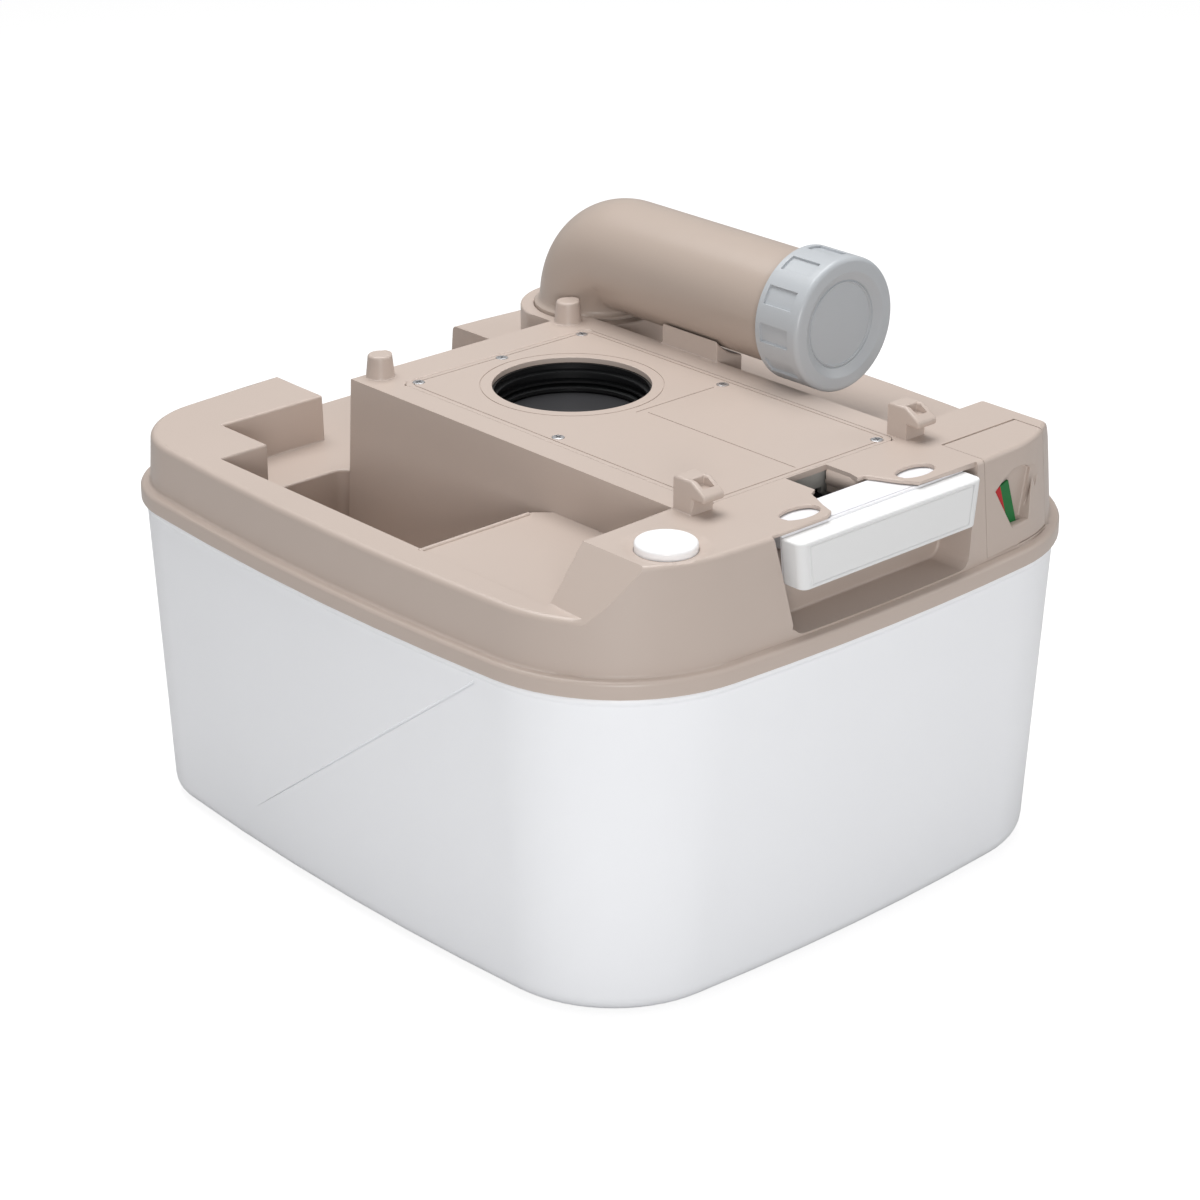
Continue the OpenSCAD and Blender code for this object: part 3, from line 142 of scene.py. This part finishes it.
def moulded_group():
    """Moulded plastic skin: a fine spark-eroded grain and slow changes of shade and gloss."""
    clouds_per_metre, gloss_change = 14.0, 0.08
    g = bpy.data.node_groups.new("moulded_skin", "ShaderNodeTree")
    for label, kind, value in (("Colour", "NodeSocketColor", (0.8, 0.8, 0.8, 1)),
                               ("Gloss roughness", "NodeSocketFloat", 0.4),
                               ("Grain per metre", "NodeSocketFloat", 1800.0),
                               ("Shade change", "NodeSocketFloat", 0.03)):
        made = g.interface.new_socket(name=label, in_out="INPUT", socket_type=kind)
        made.default_value = value
    for label, kind in (("Colour", "NodeSocketColor"), ("Roughness", "NodeSocketFloat"),
                        ("Height", "NodeSocketFloat")):
        g.interface.new_socket(name=label, in_out="OUTPUT", socket_type=kind)
    n = g.nodes
    gin, gout = n.new("NodeGroupInput"), n.new("NodeGroupOutput")
    where = n.new("ShaderNodeTexCoord")
    grain = n.new("ShaderNodeTexNoise")
    grain.inputs["Detail"].default_value = 2.0
    cloud = n.new("ShaderNodeTexNoise")
    cloud.inputs["Scale"].default_value = clouds_per_metre
    cloud.inputs["Detail"].default_value = 3.0
    g.links.new(where.outputs["Object"], grain.inputs["Vector"])
    g.links.new(where.outputs["Object"], cloud.inputs["Vector"])
    g.links.new(gin.outputs["Grain per metre"], grain.inputs["Scale"])
    centre = n.new("ShaderNodeMath")
    centre.operation = "SUBTRACT"
    centre.inputs[1].default_value = 0.5
    g.links.new(cloud.outputs["Fac"], centre.inputs[0])
    swing = n.new("ShaderNodeMath")
    swing.operation = "MULTIPLY_ADD"
    swing.inputs[2].default_value = 1.0
    g.links.new(centre.outputs[0], swing.inputs[0])
    g.links.new(gin.outputs["Shade change"], swing.inputs[1])
    shade = n.new("ShaderNodeVectorMath")
    shade.operation = "SCALE"
    g.links.new(gin.outputs["Colour"], shade.inputs[0])
    g.links.new(swing.outputs[0], shade.inputs["Scale"])
    g.links.new(shade.outputs[0], gout.inputs["Colour"])
    rough = n.new("ShaderNodeMath")
    rough.operation = "MULTIPLY_ADD"
    rough.inputs[1].default_value = gloss_change
    g.links.new(centre.outputs[0], rough.inputs[0])
    g.links.new(gin.outputs["Gloss roughness"], rough.inputs[2])
    g.links.new(rough.outputs[0], gout.inputs["Roughness"])
    g.links.new(grain.outputs["Fac"], gout.inputs["Height"])
    return g


skin_group = moulded_group()


def plastic(name, colour, roughness, grain=1800.0, depth=0.06, change=0.03, metal=0.0):
    """One moulded finish with its own colour, gloss and grain."""
    m = bpy.data.materials.new(name)
    m.use_nodes = True
    t = m.node_tree
    t.nodes.clear()
    o = t.nodes.new("ShaderNodeOutputMaterial")
    p = t.nodes.new("ShaderNodeBsdfPrincipled")
    g = t.nodes.new("ShaderNodeGroup")
    g.node_tree = skin_group
    g.inputs["Colour"].default_value = colour
    g.inputs["Gloss roughness"].default_value = roughness
    g.inputs["Grain per metre"].default_value = grain
    g.inputs["Shade change"].default_value = change
    b = t.nodes.new("ShaderNodeBump")
    b.inputs["Strength"].default_value = depth
    b.inputs["Distance"].default_value = 0.0002
    t.links.new(g.outputs["Colour"], p.inputs["Base Color"])
    t.links.new(g.outputs["Roughness"], p.inputs["Roughness"])
    t.links.new(g.outputs["Height"], b.inputs["Height"])
    t.links.new(b.outputs["Normal"], p.inputs["Normal"])
    p.inputs["Metallic"].default_value = metal
    t.links.new(p.outputs[0], o.inputs["Surface"])
    return m


hard_edge = math.radians(32)
finest_round = 0.00022
weld = 2e-6


def edge_room(mesh):
    """How far each hard edge may be rounded before its round meets the next edge beside it."""
    beside = {}
    for face in mesh.polygons:
        for k, loop in enumerate(face.loop_indices):
            beside.setdefault(mesh.loops[loop].edge_index, []).append((face.index, k))
    room = {}
    for edge in mesh.edges:
        sides = beside.get(edge.index, [])
        if len(sides) != 2:
            continue
        a, b = (mesh.polygons[s[0]].normal for s in sides)
        along = mesh.vertices[edge.vertices[1]].co - mesh.vertices[edge.vertices[0]].co
        if a.angle(b, 0.0) < hard_edge or along.length < 1e-6:
            continue
        along.normalize()
        least = 1.0
        for face_index, k in sides:
            loops = list(mesh.polygons[face_index].loop_indices)
            for j in ((k - 1) % len(loops), (k + 1) % len(loops)):
                near = mesh.edges[mesh.loops[loops[j]].edge_index]
                run = mesh.vertices[near.vertices[1]].co - mesh.vertices[near.vertices[0]].co
                across = run.cross(along).length
                if across > 0.25 * run.length:
                    least = min(least, across)
        room[edge.index] = least
    return room


def crossings(mesh, face):
    """Corners of a face where its own outline crosses itself after rounding."""
    flat = max(range(3), key=lambda k: abs(face.normal[k]))
    u, v = [k for k in range(3) if k != flat]
    ring = [mesh.vertices[i].co for i in face.vertices]
    plan = [Vector((p[u], p[v])) for p in ring]
    count = len(ring)
    found = []
    for i in range(count):
        for j in range(i + 2, count):
            if (j + 1) % count == i:
                continue
            corners = (i, (i + 1) % count, j, (j + 1) % count)
            if intersect_line_line_2d(*(plan[k] for k in corners)):
                found += [ring[k].copy() for k in corners]
    return found


def faults(piece, skin, radius):
    """Spots where a rounded mesh has left the skin it was rounded from, or folded over."""
    mesh = piece.data
    off = 0.35 * radius + 2e-5
    spots = [v.co.copy() for v in mesh.vertices if skin.find_nearest(v.co)[3] > off]
    for f in mesh.polygons:
        if f.area > 1e-10 and f.normal.dot(skin.find_nearest(f.center)[1]) < -0.3:
            spots.append(f.center.copy())
    mesh.calc_loop_triangles()
    cut = {}
    for t in mesh.loop_triangles:
        cut[t.polygon_index] = cut.get(t.polygon_index, 0.0) + t.area
    for index, area in cut.items():
        f = mesh.polygons[index]
        if len(f.vertices) > 4 and area > 1.002 * f.area + 1e-8:
            spots += crossings(mesh, f)
    return spots


def round_edges(piece, radius, above, share_of=None):
    """Round the hard edges as far as there is room, and leave sharp those that don't come clean."""
    plain = piece.data
    corner = [v.co.copy() for v in plain.vertices]
    skin = BVHTree.FromPolygons(corner, [list(f.vertices) for f in plain.polygons])
    weight, ends = {}, {}
    for k, room in edge_room(plain).items():
        a, b = plain.edges[k].vertices
        if max(corner[a].z, corner[b].z) <= above:
            continue
        weight[k] = min(1.0, 0.42 * room / radius)
        if share_of:
            weight[k] = min(weight[k], share_of(corner[a], corner[b]))
        for v in (a, b):
            ends.setdefault(v, []).append(k)
    for attempt in range(6):
        piece.data = plain.copy()
        share = piece.data.attributes.new("bevel_weight_edge", "FLOAT", "EDGE")
        for k, value in weight.items():
            share.data[k].value = value if value * radius > finest_round else 0.0
        bevel = piece.modifiers.new("edge_round", "BEVEL")
        bevel.limit_method = "WEIGHT"
        bevel.width = radius
        bevel.segments = 3
        bevel.loop_slide = False
        bevel.use_clamp_overlap = False
        bpy.ops.object.modifier_apply(modifier="edge_round")
        spots = faults(piece, skin, radius)
        if not spots:
            break
        reach = radius * (0.4 + 0.6 * attempt)
        for spot in spots:
            nearest = min(ends, key=lambda v: (corner[v] - spot).length_squared)
            for v in ends:
                if v == nearest or (corner[v] - spot).length < reach:
                    for k in ends[v]:
                        weight[k] = 0.0


def take(piece):
    """Pick up one piece and let go of all others."""
    bpy.ops.object.select_all(action="DESELECT")
    bpy.context.view_layer.objects.active = piece
    piece.select_set(True)


def combine(piece, tool, operation):
    """Cut a piece with a tool, or join the tool to it, and put the tool away."""
    take(piece)
    step = piece.modifiers.new("combined", "BOOLEAN")
    step.operation = operation
    step.solver = "EXACT"
    step.object = tool
    bpy.ops.object.modifier_apply(modifier="combined")
    bpy.data.objects.remove(tool)


def even_shading(piece, angle):
    """Shade the curves smooth and keep the flat faces flat."""
    bpy.ops.object.shade_smooth_by_angle(angle=math.radians(angle))
    even = piece.modifiers.new("even_shading", "WEIGHTED_NORMAL")
    even.keep_sharp = True
    bpy.ops.object.modifier_apply(modifier="even_shading")


def moulding(part, name, radius, body, finish, shape=None, above=-1.0, holes=(), share_of=None):
    """The CAD part as it leaves its mould: merged, its hard edges rounded, in its finish."""
    piece = bpy.data.objects.new(name, node[part].data.copy())
    bpy.context.scene.collection.objects.link(piece)
    take(piece)
    piece.data.materials.clear()
    bpy.ops.mesh.customdata_custom_splitnormals_clear()
    bpy.ops.object.mode_set(mode="EDIT")
    bpy.ops.mesh.select_all(action="SELECT")
    bpy.ops.mesh.remove_doubles(threshold=weld)
    bpy.ops.mesh.dissolve_limited(angle_limit=math.radians(0.5))
    bpy.ops.mesh.dissolve_degenerate(threshold=1e-5)
    bpy.ops.object.mode_set(mode="OBJECT")
    if shape:
        for v in piece.data.vertices:
            v.co = shape(v.co)
    for x, y, z, wide, deep in holes:
        bpy.ops.mesh.primitive_cylinder_add(vertices=40, radius=1.0, depth=1.0, location=(x, y, z))
        punch = bpy.context.active_object
        punch.scale = (wide, deep, 0.02)
        bpy.ops.object.transform_apply(location=True, rotation=True, scale=True)
        combine(piece, punch, "DIFFERENCE")
    if radius:
        round_edges(piece, radius, above, share_of)
    piece.data.materials.append(finish)
    for f in piece.data.polygons:
        f.material_index = 0
    even_shading(piece, 33)
    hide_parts(part)
    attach(piece, body)
    return piece


tub_white = plastic("tub_white", paint(247, 248, 251), 0.31, depth=0.05)
tub = moulding("tank_tub", "tub_moulding", 0.0006, "tank", tub_white)

# Cover: the taupe upper moulding with its decks, well, pegs, hooks and spout cradle.
# Injection-moulded in one piece; every outer edge has a small round.
taupe = plastic("cover_taupe", paint(193, 178, 168), 0.38)
deck = 0.2285
well_floor = 0.129
flange_low, flange_high = 0.1684, 0.1772
flange_x, flange_y = 0.9958, 0.9962
plateau_side = 0.0784
draft = math.tan(math.radians(3.0))


def drafted(spot):
    """Lean the plateau's upright wall back a little, as it must to leave the mould.

    The flange is drawn in by less than a millimetre.
    """
    x, y, z = spot
    if abs(x + plateau_side) < 2e-5 and well_floor < z < deck - 1e-4:
        x -= (deck - z) * draft
    if flange_low < z < flange_high:
        x, y = x * flange_x, y * flange_y
    return Vector((x, y, z))


button_x, button_y = -0.111325, -0.16355
guide_room = 0.0175
eye_x, eye_y, eye_wide, eye_deep = 0.039, -0.17605, 0.0118, 0.0062


def clear_of_button(a, b):
    """The guide hole under the vent button keeps its sharp edges, so that the button runs free."""
    near = max(math.hypot(p.x - button_x, p.y - button_y) for p in (a, b)) < guide_room
    return 0.0 if near and max(a.z, b.z) < deck - 0.001 else 1.0


eye_holes = [(x, eye_y, deck, eye_wide, eye_deep) for x in (-eye_x, eye_x)]
cover = moulding("tank_cover", "cover_moulding", 0.0013, "tank", taupe, shape=drafted, above=0.1705,
                 holes=eye_holes, share_of=clear_of_button)

# Valve plate: a loose plate in the same taupe, let in flush over the slide valve.
# Fine moulded lines run round its edge and round the inlet.
plate = moulding("valve_plate", "valve_plate_moulding", 0.0003, "tank", taupe)

# Seven bright countersunk screws with a cross recess hold the plate down.
bright = plastic("screw_bright", paint(206, 206, 208), 0.31, grain=5000, depth=0.03, metal=0.85)
head_r, head_high, head_middle = 0.0031, 0.0012, deck - 0.00055
shank_r, shank_long, shank_top = 0.00145, 0.0124, deck - 0.0014
wing_size = (0.0040, 0.00085, 0.0016)
screw_spots = ((-0.0559, 0.0777), (0.0, 0.0777), (0.0559, 0.0777), (-0.0559, -0.029), (0.0559, -0.029),
               (-0.0559, -0.13575), (0.0559, -0.13575))
screw_parts = []
for k, (x, y) in enumerate(screw_spots):
    bpy.ops.mesh.primitive_cylinder_add(vertices=36, radius=head_r, depth=head_high,
                                        location=(x, y, head_middle))
    head = bpy.context.active_object
    bpy.ops.object.transform_apply(location=True, rotation=True, scale=True)
    bpy.ops.object.mode_set(mode="EDIT")
    bpy.ops.mesh.select_all(action="DESELECT")
    bpy.ops.object.mode_set(mode="OBJECT")
    for f in head.data.polygons:
        f.select = f.normal.z > 0.9
    bpy.ops.object.mode_set(mode="EDIT")
    bpy.ops.mesh.inset(thickness=0.0006, depth=0.00018)
    bpy.ops.mesh.inset(thickness=0.0006, depth=0.00006)
    bpy.ops.object.mode_set(mode="OBJECT")
    bpy.ops.mesh.primitive_cylinder_add(vertices=24, radius=shank_r, depth=shank_long,
                                        location=(x, y, shank_top - shank_long / 2))
    shank = bpy.context.active_object
    bpy.ops.object.transform_apply(location=True, rotation=True, scale=True)
    for turn in (20, 110):
        around = math.radians(turn + 23 * k)
        bpy.ops.mesh.primitive_cube_add(size=1.0, location=(x, y, deck), rotation=(0, 0, around))
        wing = bpy.context.active_object
        wing.scale = wing_size
        bpy.ops.object.transform_apply(location=True, rotation=True, scale=True)
        combine(head, wing, "DIFFERENCE")
    screw_parts += [head, shank]
for piece in screw_parts:
    piece.select_set(True)
bpy.context.view_layer.objects.active = screw_parts[0]
bpy.ops.object.join()
screws = bpy.context.active_object
screws.name = "plate_screw_set"
bpy.context.scene.cursor.location = (0, 0, 0)
bpy.ops.object.origin_set(type="ORIGIN_CURSOR")
screws.data.materials.append(bright)
bpy.ops.object.shade_smooth_by_angle(angle=math.radians(30))
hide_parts("plate_screws")
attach(screws, "tank")

# Slide valve: a pale guide tray, a ribbed black rubber seal in the inlet and a dark blade
# whose stem reaches forward to the pull handle. The tray is screwed up under the plate.
rubber = plastic("seal_black", paint(26, 27, 28), 0.38, grain=900, depth=0.04)
pale = plastic("guide_pale", paint(205, 203, 197), 0.45)
dark = plastic("blade_dark", paint(58, 58, 60), 0.31)
for part, finish in (("inlet_seal", rubber), ("blade_seal", rubber), ("rim_gasket", rubber), ("vent_seal", rubber),
                     ("spout_ring", rubber), ("cap_washer", rubber), ("valve_tray", pale), ("vent_sleeve", pale),
                     ("vent_stem", pale), ("spout_retainer", pale), ("gauge_arm", pale)):
    node[part].data.materials.clear()
    node[part].data.materials.append(finish)
blade = moulding("valve_blade", "valve_blade_moulding", 0.0005, "blade", dark)

# Pull handle: a gloss white bar with a bare, fine-lined panel on its face.
# Its hollow body runs back under the deck and is pinned to the blade's stem.
white = plastic("handle_white", paint(243, 243, 246), 0.30, depth=0.03, change=0.015)
bar_front, bar_back, bar_top, bar_low = -0.19905, -0.1862, 0.2252, 0.2017
bar_wide, bar_high = 0.1226, bar_top - bar_low
splay_top, splay_low = 1.012, 0.962
front_round, rim_round = 0.0042, 0.0009
panel_margin, line_wide, line_deep, line_wall = 0.0018, 0.0006, 0.0006, 0.00004
bpy.ops.mesh.primitive_cube_add(size=1.0, location=(0, (bar_front + bar_back) / 2, (bar_top + bar_low) / 2))
bar = bpy.context.active_object
bar.scale = (bar_wide, bar_back - bar_front, bar_high)
bpy.ops.object.transform_apply(location=True, rotation=True, scale=True)
for v in bar.data.vertices:
    v.co.x *= splay_top if v.co.z > 0.21 else splay_low
bpy.ops.object.mode_set(mode="EDIT")
bpy.ops.mesh.select_mode(type="EDGE")
bpy.ops.mesh.select_all(action="DESELECT")
bpy.ops.object.mode_set(mode="OBJECT")
for e in bar.data.edges:
    p, q = (bar.data.vertices[i].co for i in e.vertices)
    e.select = abs(p.z - q.z) > bar_high / 2 and p.y < -0.195
bpy.ops.object.mode_set(mode="EDIT")
bpy.ops.mesh.bevel(offset=front_round, segments=6, affect="EDGES")
bpy.ops.mesh.select_mode(type="FACE")
bpy.ops.mesh.select_all(action="DESELECT")
bpy.ops.object.mode_set(mode="OBJECT")
for f in bar.data.polygons:
    f.select = f.normal.y < -0.999
bpy.ops.object.mode_set(mode="EDIT")
for across, step in ((panel_margin, 0.0), (line_wall, -line_deep), (line_wide, 0.0), (line_wall, line_deep)):
    bpy.ops.mesh.inset(thickness=across, depth=step)
bpy.ops.mesh.select_all(action="SELECT")
bpy.ops.mesh.normals_make_consistent(inside=False)
bpy.ops.mesh.select_mode(type="VERT")
bpy.ops.object.mode_set(mode="OBJECT")
ease = bar.modifiers.new("bar_edges", "BEVEL")
ease.limit_method = "WEIGHT"
ease.width = rim_round
ease.segments = 3
rim = bar.data.attributes.new("bevel_weight_edge", "FLOAT", "EDGE")
for e in bar.data.edges:
    p, q = (bar.data.vertices[i].co for i in e.vertices)
    level = abs(p.z - q.z) < 1e-5 and not bar_low + 0.001 < p.z < bar_top - 0.001
    upright = abs(p.z - q.z) > bar_high / 2 and min(p.y, q.y) > bar_back - 0.0001
    rim.data[e.index].value = 1.0 if level or upright else 0.0
bpy.ops.object.modifier_apply(modifier="bar_edges")
handle = moulding("pull_handle", "pull_handle_moulding", 0.0, "blade", white)
bpy.ops.object.mode_set(mode="EDIT")
bpy.ops.mesh.select_all(action="SELECT")
bpy.ops.mesh.bisect(plane_co=(0, bar_back - 0.0004, 0), plane_no=(0, 1, 0), clear_inner=True, use_fill=True)
bpy.ops.object.mode_set(mode="OBJECT")
bar.select_set(True)
bpy.ops.object.join()
even_shading(handle, 33)

# Vent button: a gloss white press button in a shallow dish of the deck, on a steel spring.
button_white = plastic("button_white", paint(250, 250, 251), 0.30, depth=0.02, change=0.01)
button = moulding("vent_button", "vent_button_moulding", 0.0004, "vent", button_white)
wire = plastic("spring_wire", paint(176, 176, 180), 0.31, grain=6000, depth=0.05, metal=0.9)
coil = moulding("vent_spring", "vent_spring_coil", 0.0, "tank", wire)
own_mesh(coil)

# Level gauge: a taupe insert let into the front corner, with a hooded window.
insert = moulding("gauge_housing", "gauge_insert_moulding", 0.0013, "tank", taupe)

# Gauge flag: a thin two-colour flag on the shaft, green on the right and red on the left.
# A long arm under it carries the float.
green = plastic("flag_green", paint(0, 108, 46), 0.55, depth=0.02)
red = plastic("flag_red", paint(186, 24, 32), 0.55, depth=0.02)
flag = moulding("gauge_vane", "gauge_flag", 0.0, "gauge", green)
pivot = Vector((0.1020175, -0.187, 0.184))
lean = math.radians(17.8)
right = Vector((math.cos(lean), 0.0, math.sin(lean)))
red_from = 0.0046
take(flag)
bpy.ops.object.mode_set(mode="EDIT")
bpy.ops.mesh.select_all(action="SELECT")
bpy.ops.mesh.bisect(plane_co=pivot - red_from * right, plane_no=right)
bpy.ops.object.mode_set(mode="OBJECT")
flag.data.materials.append(red)
for f in flag.data.polygons:
    f.material_index = 1 if (f.center - pivot).dot(right) < -red_from else 0
for part, finish in (("gauge_shaft", bright), ("gauge_float", pale)):
    node[part].data.materials.clear()
    node[part].data.materials.append(finish)

# Pour-out spout: a taupe moulded elbow that swivels in the cover's collar on a foot flange.
# A sealing ring and a retainer sit in the two grooves of its hidden foot.
pipe_x, foot_y, axis_z, mouth_y = 0.1017, 0.11755, 0.2597, -0.0642
pipe_r, bore_r, bend = 0.0303, 0.0273, 0.0307
bend_y, bend_z = foot_y - bend, axis_z - bend
foot_low, groove_r = 0.1895, 0.0288
pipe_points, bend_steps, reach_steps = 128, 40, 8
foot = (pipe_x, foot_y, bend_z)
foot_rings = ((foot_low, pipe_r), (0.1911, pipe_r), (0.1911, groove_r), (0.1962, groove_r), (0.1962, pipe_r),
              (0.21, pipe_r), (0.21, groove_r), (0.213, groove_r), (0.213, pipe_r), (bend_z, pipe_r))
flange_rings = ((0.225, 0.0329), (0.2253, 0.0332), (0.228, 0.0332), (0.2283, 0.0329), (0.22845, 0.0324),
                (0.2287, 0.0318), (0.2291, 0.0312), (0.2296, 0.0308), (0.2303, 0.0305), (0.231, 0.03034),
                (0.231, 0.0286), (0.225, 0.0286), (0.225, 0.0329))


def start_ring(x, y, z, radius, count, turn=0.0):
    """A level ring of points, held in edit mode with all of it selected."""
    bpy.ops.mesh.primitive_circle_add(vertices=count, radius=radius, fill_type="NOTHING", location=(x, y, z),
                                      rotation=(0, 0, turn))
    made = bpy.context.active_object
    bpy.ops.object.transform_apply(location=True, rotation=True, scale=True)
    bpy.ops.object.mode_set(mode="EDIT")
    bpy.ops.mesh.select_all(action="SELECT")
    return made


def ring_up(rings, centre):
    """Draw the selected ring on through a list of heights and radii."""
    for (low, old), (high, new) in zip(rings, rings[1:]):
        bpy.ops.mesh.extrude_region_move(TRANSFORM_OT_translate={"value": (0, 0, high - low)})
        bpy.ops.transform.resize(value=(new / old, new / old, 1), center_override=centre)


def draw_along(run, steps):
    """Draw the selected ring straight on along the pipe."""
    for k in range(steps):
        bpy.ops.mesh.extrude_region_move(TRANSFORM_OT_translate={"value": (0, run / steps, 0)})


def close_up():
    """Weld what meets, turn all faces outward and leave edit mode."""
    bpy.ops.mesh.select_all(action="SELECT")
    bpy.ops.mesh.remove_doubles(threshold=weld)
    bpy.ops.mesh.normals_make_consistent(inside=False)
    bpy.ops.object.mode_set(mode="OBJECT")


def soften(piece, width, over):
    """Put a tiny round on every edge that turns by more than an angle in degrees."""
    bevel = piece.modifiers.new("softened", "BEVEL")
    bevel.limit_method = "ANGLE"
    bevel.angle_limit = math.radians(over)
    bevel.width = width
    bevel.segments = 2
    bpy.ops.object.modifier_apply(modifier="softened")


elbow = start_ring(pipe_x, foot_y, foot_low, pipe_r, pipe_points)
elbow.name = "spout_elbow_moulding"
ring_up(foot_rings, foot)
bpy.ops.mesh.spin(steps=bend_steps, angle=math.radians(-90), center=(pipe_x, bend_y, bend_z), axis=(1, 0, 0))
draw_along(mouth_y - bend_y, reach_steps)
bpy.ops.mesh.extrude_region_move(TRANSFORM_OT_translate={"value": (0, 0, 0)})
bpy.ops.transform.resize(value=(bore_r / pipe_r, 1, bore_r / pipe_r), center_override=(pipe_x, mouth_y, axis_z))
draw_along(bend_y - mouth_y, reach_steps)
bpy.ops.mesh.spin(steps=bend_steps, angle=math.radians(90), center=(pipe_x, bend_y, bend_z), axis=(1, 0, 0))
ring_up(((bend_z, bore_r), (foot_low, bore_r), (foot_low, pipe_r)), foot)
close_up()
flange = start_ring(pipe_x, foot_y, *flange_rings[0], pipe_points)
ring_up(flange_rings, foot)
close_up()
combine(elbow, flange, "UNION")
soften(elbow, 0.0003, 50)
elbow.data.materials.append(plastic("spout_taupe", paint(181, 166, 155), 0.31))
bpy.ops.object.shade_smooth_by_angle(angle=math.radians(40))
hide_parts("spout_elbow")
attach(elbow, "spout")

# Cap: a grey moulded screw cap with eleven grip recesses round its skirt and a sunk disc
# in its end. It is turned on to the pipe against a rubber washer.
grey = plastic("cap_grey", paint(182, 186, 190), 0.32, depth=0.04)
cap_r, cap_back = 0.0352, -0.0402
skin_r, bore_wall, bore_end = cap_r - 0.0006, 0.0308, 0.0245
grips, grip_low, grip_high, grip_deep = 11, 0.0035, 0.0225, 0.0013
first_grip = math.radians(11.5)
half_pitch = math.pi / grips
lip_round, lip_middle = 0.0028, 0.0267
lip_turns = [math.radians(a) for a in range(0, 91, 15)]
skirt = [(0.0, skin_r), (0.0006, cap_r), (grip_low, cap_r), (grip_high, cap_r)]
lip = [(lip_middle + lip_round * math.sin(a), cap_r - lip_round * (1 - math.cos(a))) for a in lip_turns]
sunk_disc = [(0.0295, 0.0282), (0.0294, 0.0276), (0.0291, 0.0270), (0.0286, 0.0264), (0.0277, 0.0246),
             (0.0269, 0.0230), (0.0262, 0.0228), (0.0262, 0.0223), (0.0270, 0.0221), (0.0270, 0.0216),
             (0.0262, 0.0214), (0.0262, 0.0100)]
bore = [(0.0, skin_r), (0.0, 0.0312), (0.0005, bore_wall), (bore_end, bore_wall), (bore_end, 0.0150)]
cap = start_ring(0, 0, 0, skin_r, 12 * grips, first_grip)
cap.name = "spout_cap_moulding"
ring_up(skirt + lip + sunk_disc, (0, 0, 0))
bpy.ops.mesh.edge_face_add()
bpy.ops.mesh.select_all(action="DESELECT")
bpy.ops.mesh.select_non_manifold()
ring_up(bore, (0, 0, 0))
bpy.ops.mesh.edge_face_add()
bpy.ops.mesh.select_all(action="DESELECT")
bpy.ops.object.mode_set(mode="OBJECT")
for f in cap.data.polygons:
    x, y, z = f.center
    turned = (math.atan2(y, x) - first_grip) % (2 * math.pi)
    on_skirt = grip_low < z < grip_high and math.hypot(x, y) > 0.034
    f.select = on_skirt and int(turned / half_pitch) % 2 == 0
bpy.ops.object.mode_set(mode="EDIT")
bpy.ops.mesh.select_mode(type="FACE")
bpy.ops.mesh.extrude_region_move(TRANSFORM_OT_translate={"value": (0, 0, 0)})
sunk = (cap_r - grip_deep) / cap_r
bpy.ops.transform.resize(value=(sunk, sunk, 1), center_override=(0, 0, 0))
bpy.ops.mesh.select_mode(type="VERT")
close_up()
cap.location = (pipe_x, cap_back, axis_z)
cap.rotation_euler = (math.radians(90), 0, 0)
bpy.ops.object.transform_apply(location=True, rotation=True, scale=True)
soften(cap, 0.00022, 46)
cap.data.materials.append(grey)
even_shading(cap, 40)
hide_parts("spout_cap")
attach(cap, "cap")
